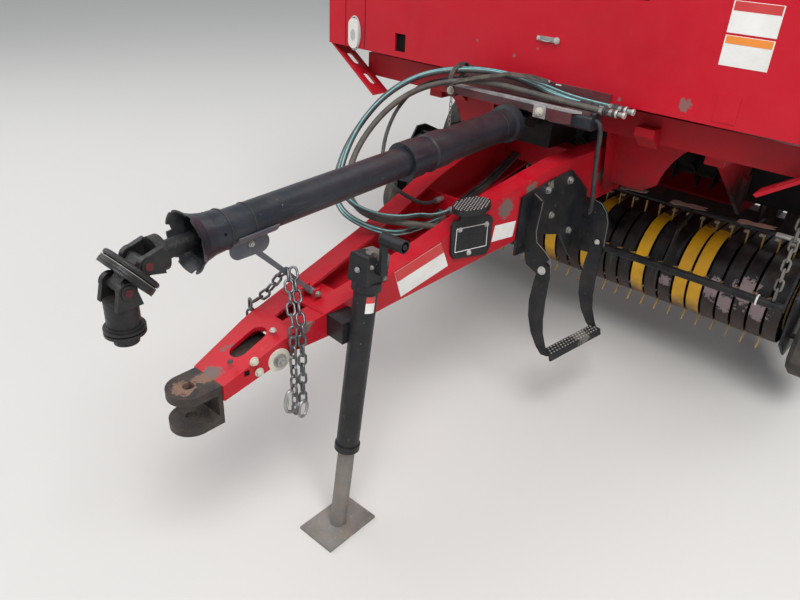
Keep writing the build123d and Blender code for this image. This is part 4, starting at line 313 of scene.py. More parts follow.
for material, names in NODE_MATERIALS.items():
    for name in names:
        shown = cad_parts[name]
        shown.data.materials.clear()
        shown.data.materials.append(material)


# Builders: every piece is a mesh or a curve that rides on a body

UP = (0.0, 0.0, 1.0)
LEFT = (1.0, 0.0, 0.0)
FRONT = (0.0, -1.0, 0.0)
BACK = (0.0, 1.0, 0.0)


def show(name, data, body):
    shown = bpy.data.objects.new(name, data)
    scene.collection.objects.link(shown)
    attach(shown, body)
    return shown


def add_mesh(name, made, body, material, smooth=False):
    bmesh.ops.recalc_face_normals(made, faces=made.faces)
    mesh = bpy.data.meshes.new(name)
    made.to_mesh(mesh)
    made.free()
    mesh.materials.append(material)
    if smooth:
        for face in mesh.polygons:
            face.use_smooth = True
    return show(name, mesh, body)


def basis(axis, x_hint=None):
    """A rotation whose Z is the axis and whose X lies towards the hint."""
    z = Vector(axis).normalized()
    hint = Vector(x_hint or (UP if abs(z.z) < 0.9 else LEFT))
    x = (hint - z * hint.dot(z)).normalized()
    y = z.cross(x)
    return Matrix((x, y, z)).transposed()


def prism(made, outline, place, turned, depth, bevel):
    """Adds a prism of an outline in the local XY plane, from z 0 to depth, with its top edges bevelled."""
    bottom = [made.verts.new(place + turned @ Vector((x, y, 0.0))) for x, y in outline]
    top = [made.verts.new(place + turned @ Vector((x, y, depth))) for x, y in outline]
    made.faces.new(bottom[::-1])
    top_face = made.faces.new(top)
    for i in range(len(outline)):
        j = (i + 1) % len(outline)
        made.faces.new((bottom[i], bottom[j], top[j], top[i]))
    bmesh.ops.bevel(made, geom=list(top_face.edges), offset=bevel, segments=2, profile=0.6, affect="EDGES")


def ring(radius, count, start=0.0):
    angles = [start + 2 * math.pi * i / count for i in range(count)]
    return [(radius * math.cos(a), radius * math.sin(a)) for a in angles]


def strip(made, rows):
    """Walls between rows of four points, closed at both ends."""
    for low, high in zip(rows, rows[1:]):
        for k in range(4):
            made.faces.new((low[k], low[(k + 1) % 4], high[(k + 1) % 4], high[k]))
    made.faces.new(rows[0])
    made.faces.new(rows[-1][::-1])


# How far washers and studs reach into the face that they sit on
WASHER_SUNK = 0.0005
STUD_SUNK = 0.0004


def fasteners(name, table, body, material):
    """Hexagon heads on washers: each row is place, axis and the head's half width."""
    made = bmesh.new()
    for place, axis, size in table:
        place = Vector(place)
        turned = basis(axis)
        away = Vector(axis).normalized()
        prism(made, ring(size * 1.25, 20), place - away * WASHER_SUNK, turned, size * 0.22 + WASHER_SUNK, size * 0.06)
        prism(made, ring(size, 6, rng.uniform(0, 1)), place + away * size * 0.22, turned, size * 0.7, size * 0.14)
        prism(made, ring(size * 0.5, 12), place + away * size * 0.85, turned, size * 0.3, size * 0.08)
    return add_mesh(name, made, body, material)


def plate(name, corners, thickness, body, material, bevel):
    """A thin plate through four or more points in one plane, raised along its normal."""
    points = [Vector(c) for c in corners]
    normal = (points[1] - points[0]).cross(points[2] - points[1]).normalized()
    made = bmesh.new()
    low = [made.verts.new(p) for p in points]
    high = [made.verts.new(p + normal * thickness) for p in points]
    made.faces.new(low[::-1])
    top = made.faces.new(high)
    for i in range(len(points)):
        j = (i + 1) % len(points)
        made.faces.new((low[i], low[j], high[j], high[i]))
    bmesh.ops.bevel(made, geom=list(top.edges), offset=bevel, segments=2, profile=0.6, affect="EDGES")
    return add_mesh(name, made, body, material)


def tube(name, points, radius, body, material, order=3, cyclic=False):
    """A round bar along a NURBS line."""
    curve = bpy.data.curves.new(name, "CURVE")
    curve.dimensions = "3D"
    curve.bevel_depth = radius
    curve.bevel_resolution = 3
    curve.use_fill_caps = True
    spline = curve.splines.new("NURBS")
    spline.points.add(len(points) - 1)
    for target, point in zip(spline.points, points):
        target.co = (*point, 1.0)
    spline.order_u = min(order, len(points))
    spline.use_cyclic_u = cyclic
    spline.use_endpoint_u = not cyclic
    curve.resolution_u = 6
    curve.materials.append(material)
    return show(name, curve, body)


LINK_STEPS = 16
WIRE_SIDES = 8


def chain_links(name, places, body, slot, material, length, width, wire):
    """Oval links, each at a place with its long direction and its flat's normal."""
    made = bmesh.new()
    half = (length - width) / 2
    radius = (width - wire) / 2
    wire_angles = [2 * math.pi * k / WIRE_SIDES for k in range(WIRE_SIDES)]
    for place, direction, normal in places:
        place = Vector(place)
        along = Vector(direction).normalized()
        side = Vector(normal).cross(along).normalized()
        flat = along.cross(side).normalized()
        path = []
        for step in range(LINK_STEPS):
            angle = 2 * math.pi * step / LINK_STEPS
            shift = half if math.cos(angle) > 0 else -half
            path.append(place + along * (shift + radius * math.cos(angle)) + side * radius * math.sin(angle))
        rows = []
        for i, point in enumerate(path):
            tangent = (path[(i + 1) % LINK_STEPS] - path[i - 1]).normalized()
            out = flat.cross(tangent).normalized()
            rows.append([made.verts.new(point + (out * math.cos(a) + flat * math.sin(a)) * wire / 2)
                         for a in wire_angles])
        for row, after in zip(rows, rows[1:] + rows[:1]):
            for k in range(WIRE_SIDES):
                j = (k + 1) % WIRE_SIDES
                made.faces.new((row[k], row[j], after[j], after[k]))
    return add_mesh(name, made, body, material, smooth=True)


def mm(*point):
    return Vector(point) / 1000.0


def studs(name, table, sides, body, material):
    """Bevelled studs: each row is place, axis, radius and height, with a number of sides for all."""
    made = bmesh.new()
    for place, axis, radius, height in table:
        away = Vector(axis).normalized()
        prism(made, ring(radius, sides, math.pi / 4), Vector(place) - away * STUD_SUNK, basis(axis),
              height + STUD_SUNK, min(radius, height) * 0.22)
    return add_mesh(name, made, body, material)


def links_along(points, pitch, first=0):
    """Places of links along a line of points: the place, the line's direction and a normal that alternates."""
    places = []
    travelled = pitch / 2
    number = first
    for start, end in zip(points, points[1:]):
        start, end = Vector(start), Vector(end)
        length = (end - start).length
        along = (end - start) / length
        side = along.cross(Vector((0.31, 0.89, 0.33))).normalized()
        while travelled <= length:
            normal = side if number % 2 else along.cross(side)
            places.append((start + along * travelled, along, normal))
            travelled += pitch
            number += 1
        travelled -= length
    return places


HOOP_POINTS = 16
HOOP_SPREAD = 1.035


def hoop(name, centre, axis, radius, wire, body, material, squeeze=1.0):
    """A round or oval ring of wire about an axis; squeeze scales its first half width. Its points stand
    a little outside the radius, because the curve runs inside them."""
    turned = basis(axis)
    points = [Vector(centre) + turned @ Vector((x * squeeze * HOOP_SPREAD, y * HOOP_SPREAD, 0.0))
              for x, y in ring(radius, HOOP_POINTS)]
    return tube(name, points, wire, body, material, cyclic=True)


LABEL_STEPS = 8
LABEL_DEPTH = 0.001


def tube_label(name, base, axis, radius, angles, heights, body, material):
    """A thin label bent round a tube, between two angles in degrees from left and two heights along it."""
    z = Vector(axis).normalized()
    x = (Vector(LEFT) - z * z.x).normalized()
    y = z.cross(x)
    made = bmesh.new()
    rows = []
    low, high = heights
    inner = radius - LABEL_DEPTH
    for k in range(LABEL_STEPS + 1):
        turn = math.radians(angles[0] + (angles[1] - angles[0]) * k / LABEL_STEPS)
        out = x * math.cos(turn) + y * math.sin(turn)
        rows.append([made.verts.new(Vector(base) + z * h + out * r)
                     for h, r in [(low, radius), (high, radius), (high, inner), (low, inner)]])
    strip(made, rows)
    return add_mesh(name, made, body, material)


def heading(points, i):
    """The direction of a line at one of its points."""
    return (points[min(i + 1, len(points) - 1)] - points[max(i - 1, 0)]).normalized()


def ribbon(name, points, width_dir, width, thickness, body, material):
    """A flat strip along a line of points."""
    across = Vector(width_dir).normalized()
    made = bmesh.new()
    rows = []
    for i, point in enumerate(points):
        along = heading(points, i)
        side = (across - along * across.dot(along)).normalized()
        up = along.cross(side)
        rows.append([made.verts.new(point + side * a * width / 2 + up * b * thickness / 2)
                     for a, b in ((-1, -1), (1, -1), (1, 1), (-1, 1))])
    strip(made, rows)
    return add_mesh(name, made, body, material)


def slab(name, centre, axis, x_hint, size, body, material, bevel=0.001):
    """A box of width, height and depth whose back lies at its centre point, facing along its axis."""
    made = bmesh.new()
    w, h = size[0] / 2, size[1] / 2
    prism(made, [(-w, -h), (w, -h), (w, h), (-w, h)], Vector(centre), basis(axis, x_hint), size[2], bevel)
    return add_mesh(name, made, body, material)


OUTLINED_BEVEL = 0.0008


def outlined(name, outline, centre, axis, x_hint, depth, body, material):
    """A flat piece with a drawn outline in metres, facing along its axis."""
    made = bmesh.new()
    prism(made, outline, Vector(centre), basis(axis, x_hint), depth, OUTLINED_BEVEL)
    return add_mesh(name, made, body, material)


# The near beam's outer face: its x at a y in millimetres, and how far it spreads per millimetre to the rear
FACE_X, FACE_Y, SPREAD = 96.3, -1607.6, 0.0998
BEAM_ALONG = Vector((SPREAD, 1.0, 0.0)).normalized()
BEAM_NORMAL = Vector((BEAM_ALONG.y, -BEAM_ALONG.x, 0.0))


def beam_point(y, z, out=0.0):
    """A point on the near beam's outer face, or out of it, from millimetres."""
    return mm(FACE_X + SPREAD * (y - FACE_Y), y, z) + BEAM_NORMAL * out / 1000.0


# Free hoses, one smooth spline each: diameter, look and the route's points in millimetres
HOSES = {
    "hose_1": (0.022, brown_hose, [
        (330, -440, 1226), (190, -440, 1226), (40, -446, 1234), (-120, -456, 1242), (-255, -515, 1236),
        (-325, -640, 1212), (-335, -790, 1168), (-320, -930, 1100), (-289, -1043, 1022), (-227, -1131, 955),
        (-155, -1150, 896), (-63, -1113, 874), (0, -1021, 858), (60, -905, 828), (60, -831, 828)]),
    "hose_2": (0.022, rubber_hose, [
        (330, -370, 1226), (190, -370, 1226), (40, -371, 1252), (-120, -388, 1272), (-270, -450, 1272),
        (-368, -590, 1250), (-395, -750, 1196), (-372, -910, 1118), (-328, -1050, 1036), (-262, -1155, 955),
        (-182, -1208, 906), (-90, -1198, 878), (-26, -1120, 842), (-36, -1012, 818), (-52, -905, 802),
        (-52, -831, 802)]),
    "hose_3": (0.018, rubber_hose, [
        (230, -405, 1226), (140, -405, 1226), (20, -408, 1256), (-120, -422, 1276), (-262, -482, 1270),
        (-348, -612, 1252), (-366, -768, 1206), (-352, -915, 1140), (-310, -1040, 1066), (-248, -1148, 988),
        (-166, -1190, 938), (-75, -1162, 910), (-14, -1080, 893), (-12, -990, 880), (-4, -905, 852),
        (-4, -831, 852)]),
    "hose_4": (0.014, rubber_hose, [
        (-335, -341.5, 1218.3), (-335, -440, 1223), (-362, -600, 1212), (-352, -735, 1150), (-305, -850, 1080),
        (-245, -935, 1010), (-180, -985, 968), (-118, -975, 930), (-72, -930, 896), (-66, -876, 874),
        (-66, -831, 874)]),
}


def spline_length(shown):
    made = bpy.data.meshes.new_from_object(shown)
    total = sum((made.vertices[e.vertices[0]].co - made.vertices[e.vertices[1]].co).length for e in made.edges)
    bpy.data.meshes.remove(made)
    return total


def beside(points, distance, towards):
    """The same route moved sideways by a distance, square to the route and towards one side."""
    moved = []
    for i, point in enumerate(points):
        along = heading(points, i)
        side = Vector(towards) - along * along.dot(Vector(towards))
        moved.append(point + side.normalized() * distance)
    return moved


# The stripes along the hoses: hose, distance from its axis and the side that each lies on
STRIPE_RADIUS = 0.0024
STRIPES = [("hose_2", 0.0105, (0.5, -0.45, 0.75)), ("hose_2", 0.0105, (0.75, -0.65, -0.15)),
           ("hose_3", 0.0085, (0.4, -0.40, 0.85))]
hose_pieces = {name: [] for name in HOSES}
hose_pieces["hose_1"].append(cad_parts["hose_couplers"])
hose_pieces["hose_3"].append(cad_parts["cable_plug"])
for number, (name, distance, towards) in enumerate(STRIPES):
    points = [mm(*p) for p in HOSES[name][2]]
    hose_pieces[name].append(tube(f"{name}_stripe_{number}", beside(points, distance, towards), STRIPE_RADIUS,
                                  "frame", cyan_stripe))
for name, (diameter, material, route) in HOSES.items():
    points = [mm(*p) for p in route]
    hose = tube(name + "_skin", points, 0.0, "frame", material)
    length = spline_length(hose)
    hose.data.bevel_depth = diameter / 2
    hose.data.resolution_u = 12
    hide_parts(name)

# Drawbar hardware: bolts and holes of the nose, the chain's bolt and the boss at the frame
SIDE_OUT = (1, -0.1, 0)
CHAIN_BOLT = (-1706, 661)
BOSS = (-104, 896)
fasteners("nose_bolts", [
    (mm(80.6, -1788, 691), SIDE_OUT, 0.011),
    (mm(82.6, -1774, 649), SIDE_OUT, 0.011),
], "frame", nut_white)
# The square hole is a flat black patch: painted shade.
studs("nose_square_hole", [(mm(77.2, -1811, 660), SIDE_OUT, 0.011, 0.0006)], 4, "frame", shade_and_seam_black)
studs("chain_washer", [(beam_point(*CHAIN_BOLT), BEAM_NORMAL, 0.036, 0.005)], 28, "frame", nut_white)
fasteners("chain_bolt", [(beam_point(*CHAIN_BOLT, 4.5), BEAM_NORMAL, 0.017)], "frame", zinc)
studs("nose_top_hole", [(mm(40, -1838, 694), (0, -0.32, 0.95), 0.009, 0.0006)], 16, "frame", rusty)
slab("nose_floor", mm(0, -1729, 664), UP, FRONT, (0.150, 0.138, 0.004), "frame", rusty)
fasteners("nose_channel_bolt", [(mm(46, -1690, 733.2), UP, 0.008)], "frame", bright_steel)
fasteners("boss_bolt", [(beam_point(*BOSS, 14), BEAM_NORMAL, 0.012)], "frame", red)
studs("boss_cap", [(beam_point(*BOSS), BEAM_NORMAL, 0.024, 0.014)], 24, "frame", red)
# The hole by the boss is a flat black disc: painted shade.
studs("boss_hole", [(beam_point(-30, 880, 0.2), BEAM_NORMAL, 0.016, 0.0006)], 20, "frame", shade_and_seam_black)

# Safety chain: strands hung over the shaft rest's rod, over the beams' edges and down their sides
CHAIN = dict(length=0.046, width=0.030, wire=0.008)
CHAIN_PITCH = 34
NEAR_X, NEAR_Y, NEAR_TOP = 106.1, -1668, 712
near = chain_links("safety_chain_links", [
    (mm(NEAR_X, NEAR_Y, NEAR_TOP - CHAIN_PITCH * i), UP, BACK if i % 2 else LEFT) for i in range(8)
], "frame", "zinc", chain_steel, **CHAIN)
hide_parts("safety_chain")
ROD_HANG = mm(6, -1596, 884)
STRANDS = {
    "top": (0, [ROD_HANG, mm(62, -1636, 806), mm(NEAR_X, -1667, 752), mm(NEAR_X, NEAR_Y, 726)]),
    "second": (1, [ROD_HANG + mm(6, 14, 2), mm(68, -1612, 806), mm(110, -1638, 752), mm(110, -1637, 640),
                   mm(109, -1638, 486)]),
    "far": (1, [ROD_HANG + mm(-6, 0, 0), mm(-58, -1630, 790), mm(-106, -1652, 744), mm(-112, -1652, 640)]),
}
for strand, (first, line) in STRANDS.items():
    chain_links(f"safety_chain_{strand}", links_along(line, CHAIN_PITCH / 1000, first), "frame", "zinc", chain_steel,
                **CHAIN)
tube("safety_hook", [mm(108, -1668, 470), mm(108, -1700, 470), mm(108, -1708, 520), mm(108, -1690, 560),
                     mm(108, -1676, 540)], 0.0055, "frame", zinc)
slab("safety_hook_latch", mm(111, -1692, 525), LEFT, UP, (0.046, 0.012, 0.005), "frame", bright_steel)
hoop("safety_shackle", mm(111, -1640, 462), (1, 0.2, 0), 0.020, 0.005, "frame", zinc, 1.4)

# Driveline: the crosses' bearing caps, grease nipple, the centre disc's lips, the guard's pins and seams
CROSSES = [("cv_inner", -2039.59, 1058.54), ("cv_outer", -2097.59, 1010.54)]
CAPS = [("cap_rims", 45.8, 0.0185, 0.0035, 24, dark_cast), ("caps", 49.0, 0.0105, 0.0022, 20, cap_red)]
for number, (body, y, z) in enumerate(CROSSES):
    for kind, x, radius, height, sides, material in CAPS:
        studs(f"{kind}_{number}", [(mm(side * x, y, z), (side, 0, 0), radius, height) for side in (1, -1)], sides,
              body, material)
studs("nipple", [(mm(30, -2052, 1047), (0.8, -0.35, 0.5), 0.006, 0.012)], 10, "cv_centre", cap_red)
DISC = mm(0, -2068.6, 1034.5)
DISC_AXIS = Vector((0.0, -0.7704, -0.6375))
for number, shift in enumerate((-0.013, 0.006)):
    hoop(f"disc_lip_{number}", DISC + DISC_AXIS * shift, DISC_AXIS, 0.0665, 0.0075, "cv_centre",
         dark_cast)
hoop("disc_wear", DISC - DISC_AXIS * 0.0035, DISC_AXIS, 0.0722, 0.0012, "cv_centre", galvanised)
SHAFT_START = mm(0, -430, 1126)
SHAFT_ALONG = Vector((0.0, -0.99912, -0.041876))
SHAFT_UP = Vector((0.0, -0.041876, 0.99912))


def guard_point(at, radius, degrees):
    """A point on the guard and its outward direction, from millimetres along the shaft and out of its axis."""
    turn = math.radians(degrees)
    out = Vector((math.cos(turn), 0.0, 0.0)) + SHAFT_UP * math.sin(turn)
    return SHAFT_START + SHAFT_ALONG * at / 1000.0 + out * radius / 1000.0, out


# The third row is a hole, drawn as a flat black disc: painted shade.
PINS = [(1452, 58.5, 4, 0.0055, bright_steel), (1404, 54, 118, 0.0055, bright_steel),
        (1400, 54, 12, 0.004, shade_and_seam_black), (1404, 54, 238, 0.0055, bright_steel)]
for number, (at, radius, degrees, size, material) in enumerate(PINS):
    place, out = guard_point(at, radius, degrees)
    studs(f"guard_pin_{number}", [(place, out, size, 0.003)], 12, "pto_front", material)
SEAMS = [(1378, 54.5, "pto_front"), (1300, 48.2, "pto_front"), (160, 58.3, "pto_rear"), (560, 62.2, "pto_rear")]
for number, (at, radius, body) in enumerate(SEAMS):
    hoop(f"guard_seam_{number}", SHAFT_START + SHAFT_ALONG * at / 1000.0, SHAFT_ALONG, radius / 1000.0, 0.0011, body,
         black_label)

# The driveline's rest: its plate's bolt and the ends of its pin
fasteners("rest_bolt", [(mm(4.0, -1716, 1001), LEFT, 0.0075)], "pto_rest", bright_steel)
fasteners("rest_pin_ends", [(mm(side * 28, -1500, 775), (side, 0, 0), 0.009) for side in (1, -1)], "pto_rest",
          zinc)

# Jack: bolts on the gear head, the blank sticker on the tube and the worn ring at the tube's foot
JACK_BASE = mm(208, -1582, 10)
JACK_AXIS = Vector((0.0, 0.12187, 0.99255))
JACK_HEAD = JACK_BASE + JACK_AXIS * 0.914
fasteners("jack_head_bolts", [
    (JACK_HEAD + mm(36.0, -26, 26), LEFT, 0.006), (JACK_HEAD + mm(36.0, 28, -26), LEFT, 0.006),
    (JACK_HEAD + mm(0, -44.6, 12), FRONT, 0.007),
], "frame", zinc)
for kind, radius, angles, heights, material in [
        ("sticker", 0.0366, (-42, 4), (0.790, 0.842), white_label),
        ("sticker_band", 0.0370, (-42, 4), (0.822, 0.842), red_label),
        ("worn_ring", 0.0364, (-180, 180), (0.300, 0.306), worn_edge)]:
    tube_label(f"jack_{kind}", JACK_BASE, JACK_AXIS, radius, angles, heights, "frame", material)

# Near beam: blank signs, the line and bolts of the black plate
for kind, points, out, thickness, material, bevel in [
        ("sign", [(-1235, 706), (-1020, 754), (-1064, 851), (-1268, 804)], 0.3, 0.0008, white_label, 0.0003),
        ("sign_band", [(-1254, 766), (-1046, 812), (-1064, 851), (-1268, 804)], 1.1, 0.0004, red_label, 0.0002),
        ("sticker", [(-800, 782), (-682, 772), (-672, 832), (-790, 842)], 0.3, 0.0007, white_label, 0.0003)]:
    plate(f"beam_{kind}", [beam_point(y, z, out) for y, z in points], thickness, "frame", material,
          bevel)
PLATE_LINE = [(-1000, 800), (-838, 782), (-842, 868), (-1000, 886)]
PLATE_FACE = 8
for number, (start, end) in enumerate(zip(PLATE_LINE, PLATE_LINE[1:] + PLATE_LINE[:1])):
    tube(f"plate_line_{number}", [beam_point(*yz, PLATE_FACE + 0.2) for yz in (start, end)], 0.0014, "frame",
         white_label, order=2)
fasteners("plate_bolts", [(beam_point(y, z, PLATE_FACE), BEAM_NORMAL, size) for y, z, size in [
    (-929, 781, 0.008), (-850, 867, 0.008), (-985, 880, 0.007)]], "frame", bright_steel)

# Oval tread plate on the drawbar: studs in staggered rows, in metres from its middle
PAD = mm(171, -938, 962)
PAD_HALF_X, PAD_HALF_Y = 0.048, 0.079
dots = []
for i in range(-6, 7):
    for k in range(-4, 5):
        x, y = k * 0.0105 + (i % 2) * 0.005, i * 0.0125
        if (x / PAD_HALF_X) ** 2 + (y / PAD_HALF_Y) ** 2 < 1.0:
            dots.append((PAD + Vector((x, y, 0.0)), UP, 0.0026, 0.0022))
studs("pad_studs", dots, 8, "frame", bright_steel)

# Step: bolts, worn edges of the bracket and studs on the tread
STEP_ORIGIN = mm(305, -620, 655)
STEP_ALONG = Vector((26, 390, -28)).normalized()
STEP_OUT = Vector((STEP_ALONG.y, -STEP_ALONG.x, 0.0)).normalized()
STEP_UP = (-STEP_ALONG).cross(STEP_OUT)


def step_point(distance, out, up):
    """A point in millimetres along the step's hinge, out from the machine and up from the hinge."""
    return STEP_ORIGIN + (STEP_ALONG * distance + STEP_OUT * out + STEP_UP * up) / 1000.0


fasteners("bracket_bolts", [(beam_point(y, z, 10), BEAM_NORMAL, size) for y, z, size in [
    (-515, 919, 0.012), (-379, 930, 0.013), (-468, 808, 0.011), (-330, 709, 0.012), (-560, 740, 0.009)]],
    "frame", zinc)
fasteners("step_pivots", [(step_point(-9, 0, 0), -STEP_ALONG, 0.013), (step_point(390, 0, 0), STEP_ALONG, 0.013)],
          "folding_step", bright_steel)
fasteners("flange_bolt", [(step_point(372, 0, 34), -STEP_ALONG, 0.009)], "frame", bright_steel)
EDGES = [
    [(0, -98, 268), (0, -58, 250), (0, -62, 130), (0, -50, 92), (0, -14, 74), (0, 18, 50)],
    [(0, 18, 50), (0, 34, 0), (0, 20, -26), (0, -26, -18)],
    [(381, -92, 200), (381, -26, 190), (381, 6, 160), (381, 22, 120), (381, 28, 20)],
]
for number, line in enumerate(EDGES):
    tube(f"bracket_edge_{number}", [step_point(*p) for p in line], 0.0011, "frame", galvanised,
         order=2)
studs("tread_studs", [
    (step_point(22 + i * 19.5 + (k % 2) * 9, 69 + k * 14, -320.4 - k * 0.7), STEP_UP, 0.0038, 0.0022)
    for i in range(18) for k in range(3)], 8, "folding_step", bright_steel)

# Hose tray: bolts, worn front edge, tie, strap, small chain, the couplers' rings and the fittings' nuts
TRAY_FRONT, TRAY_BOLT_Z = -480, 1184
fasteners("tray_bolts", [(mm(-300, TRAY_FRONT, TRAY_BOLT_Z), FRONT, 0.013),
                         (mm(112, TRAY_FRONT - 5, TRAY_BOLT_Z), FRONT, 0.013)], "frame", nut_white)
slab("tray_pad", mm(112, TRAY_FRONT, TRAY_BOLT_Z), FRONT, LEFT, (0.050, 0.046, 0.005), "frame", worn_edge)
TRAY_EDGE = [(x, TRAY_FRONT - 0.6) for x in (-350, -210, -60, 90, 240)] + [(310, -430.6)]
ribbon("tray_edge", [mm(x, y, 1207.4) for x, y in TRAY_EDGE], UP, 0.0082, 0.0014, "frame", worn_edge)
ribbon("tray_edge_top", [mm(x, y + 10, 1211.6) for x, y in TRAY_EDGE], BACK, 0.020, 0.0012, "frame",
       worn_edge)
TIE = [(-538, 1240), (-524, 1270), (-480, 1292), (-440, 1294), (-430, 1270), (-462, 1246), (-500, 1218), (-530, 1220)]
for number, x in enumerate((-272, -265, -258)):
    tube(f"hose_tie_{number}", [mm(x, y, z) for y, z in TIE], 0.0036, "frame", pad_rubber, cyclic=True)
STRAP_LINE = [(-262, -540, 1226), (-225, -532, 1240), (-150, -488, 1262), (-60, -452, 1284), (30, -430, 1286),
              (96, -414, 1276)]
ribbon("hose_strap", [mm(*p) for p in STRAP_LINE], (0.2, 1.0, 0.5), 0.024, 0.003, "frame", pad_rubber)
studs("strap_pins", [(mm(96, -414, 1277.5), UP, 0.004, 0.006), (mm(120, -404, 1272), LEFT, 0.003, 0.022)], 10,
      "frame", bright_steel)
chain_links("tray_chain", links_along([mm(-292, -484, 1156), mm(-290, -486, 1030)], 0.017), "frame", "zinc",
            galvanised, length=0.023, width=0.015, wire=0.0035)
COUPLERS = [(326, 0.0135, 0.012, zinc), (340, 0.0155, 0.009, black_label), (352, 0.0155, 0.009, black_label),
            (376, 0.0150, 0.008, black_label), (388, 0.0145, 0.006, bright_steel), (414, 0.0115, 0.007, bright_steel)]
for number, (x, radius, length, material) in enumerate(COUPLERS):
    studs(f"coupler_ring_{number}", [(mm(x, y, 1226), LEFT, radius, length) for y in (-440, -370)],
          20 if number else 6, "frame", material)
FITTINGS = [(60, 828, 0.016), (-52, 802, 0.016), (-4, 852, 0.014), (-66, 874, 0.012)]
studs("fitting_nuts", [(mm(x, -806, z), FRONT, radius, 0.014) for x, z, radius in FITTINGS], 6, "frame", zinc)

# The short hose down the near beam, and cables on the far beam's lower flange: each one's x and z beside
# their common line and its radius, with the share of x that holds at each point of the line
DOWN_HOSE = [(314, -432, 1184), (330, -434, 1186), (337, -424, 1140), (320, -385, 1060), (299, -325, 960),
             (283, -275, 870), (268, -228, 790), (258, -210, 730), (248, -204, 690), (236, -203, 676)]
tube("beam_hose", [mm(*p) for p in DOWN_HOSE], 0.009, "frame", rubber_hose)
CABLES = [(0, 0, 7, rubber_hose), (16, -2, 5, brown_hose), (30, 0, 7, rubber_hose)]
CABLE_LINE = [(-0.5, -62, -796, 826), (0.4, -86, -760, 800), (1, -134, -690, 768), (1, -165, -500, 783),
              (1, -190, -330, 798), (1, -192, -240, 830), (1, -180, -142, 892)]
for number, (apart, lift, radius, material) in enumerate(CABLES):
    tube(f"beam_cable_{number}", [mm(apart * share + x, y, z + lift) for share, x, y, z in CABLE_LINE],
         radius / 1000, "frame", material)
studs("beam_hose_grommet", [(beam_point(-203, 676, 0), BEAM_NORMAL, 0.016, 0.006)], 20, "frame",
      pad_rubber)

# Front shield: the covered and the open slot, lens rings and seams
PANEL_Y = -333.0
SLOT_X, SLOT_Z = 709, 1291
LENS_X = 987
slab("panel_cover", mm(SLOT_X, PANEL_Y, SLOT_Z), FRONT, UP, (0.090, 0.074, 0.0022), "frame", red_clean,
     0.0004)
for number, side in enumerate((-1, 1)):
    tube(f"lens_ring_{number}", [mm(side * LENS_X + x * 1060, PANEL_Y - 3, 1294 + z * 2160)
                                 for x, z in ring(0.034, 16)], 0.004, "frame", grey_label, cyclic=True)
    outlined(f"lens_centre_{number}", [(x * 1.4, y * 0.8) for x, y in ring(0.018, 20)],
             mm(side * LENS_X, PANEL_Y - 14.0, 1288), FRONT, UP, 0.0012, "frame", grey_label)
# The open slot: a black plate set behind it as painted shade of its inside.
slab("panel_slot", mm(-SLOT_X, PANEL_Y + 14, SLOT_Z), FRONT, UP, (0.110, 0.070, 0.0015), "frame",
     shade_and_seam_black)
for number, x in enumerate((-1048, -924)):
    tube(f"panel_seam_{number}", [mm(x, PANEL_Y, z) for z in (1232, 1700)], 0.0014, "frame", shade_and_seam_black,
         order=2)

# Rear lamps: a black panel behind the lenses, an amber and a white lens on each side
LAMP_Z = 1620
for number, side in enumerate((1, -1)):
    slab(f"lamp_panel_{number}", mm(side * 1020, 1828, LAMP_Z), BACK, UP, (0.108, 0.218, 0.0012), "tailgate",
         plastic)
    for kind, x, material in (("amber", 1085, lens_amber), ("white", 955, lens_white)):
        slab(f"lamp_{kind}_{number}", mm(side * x, 1840, LAMP_Z), BACK, UP, (0.088, 0.052, 0.0012), "tailgate",
             material)

# Behind the stripper bands: the reel's drum and the pickup's back sheet, both black as painted shade where the ground
# under the machine lies in shadow
REEL_HALF = 1004
studs("reel_drum", [(mm(-REEL_HALF, 300, 450), LEFT, 0.152, REEL_HALF / 500)], 40, "reel", shade_and_seam_black)
slab("pickup_back", mm(0, 556, 432), FRONT, UP, (0.33, 2.02, 0.003), "pickup", shade_and_seam_black)

# Front shield again: its latch and the blank signs
LATCH_Z = 1409
slab("latch_plate", mm(14, PANEL_Y, LATCH_Z), FRONT, LEFT, (0.085, 0.018, 0.003), "frame", zinc)
fasteners("latch_bolts", [(mm(x, PANEL_Y - 3, LATCH_Z), FRONT, size) for x, size in [(-20, 0.006), (58, 0.010)]],
          "frame", bright_steel)
tube("latch_hook", [mm(-6, PANEL_Y - 6, 1404), mm(14, PANEL_Y - 10, 1400), mm(34, PANEL_Y - 8, 1404)], 0.003, "frame",
     zinc)
SIGN_X, SIGN_WIDTH = 721, 150
SIGNS = [("upper", 1519, 1612, 1582, red_label), ("lower", 1421, 1512, 1486, orange_label)]
for name, low, high, band, material in SIGNS:
    slab(f"sign_{name}", mm(SIGN_X, PANEL_Y, (low + high) / 2), FRONT, LEFT,
         (SIGN_WIDTH / 1000, (high - low) / 1000, 0.0009), "frame", white_label, 0.0003)
    slab(f"sign_{name}_band", mm(SIGN_X, PANEL_Y - 0.9, (band + high) / 2), FRONT, LEFT,
         ((SIGN_WIDTH - 8) / 1000, (high - band - 3) / 1000, 0.0005), "frame", material, 0.0002)

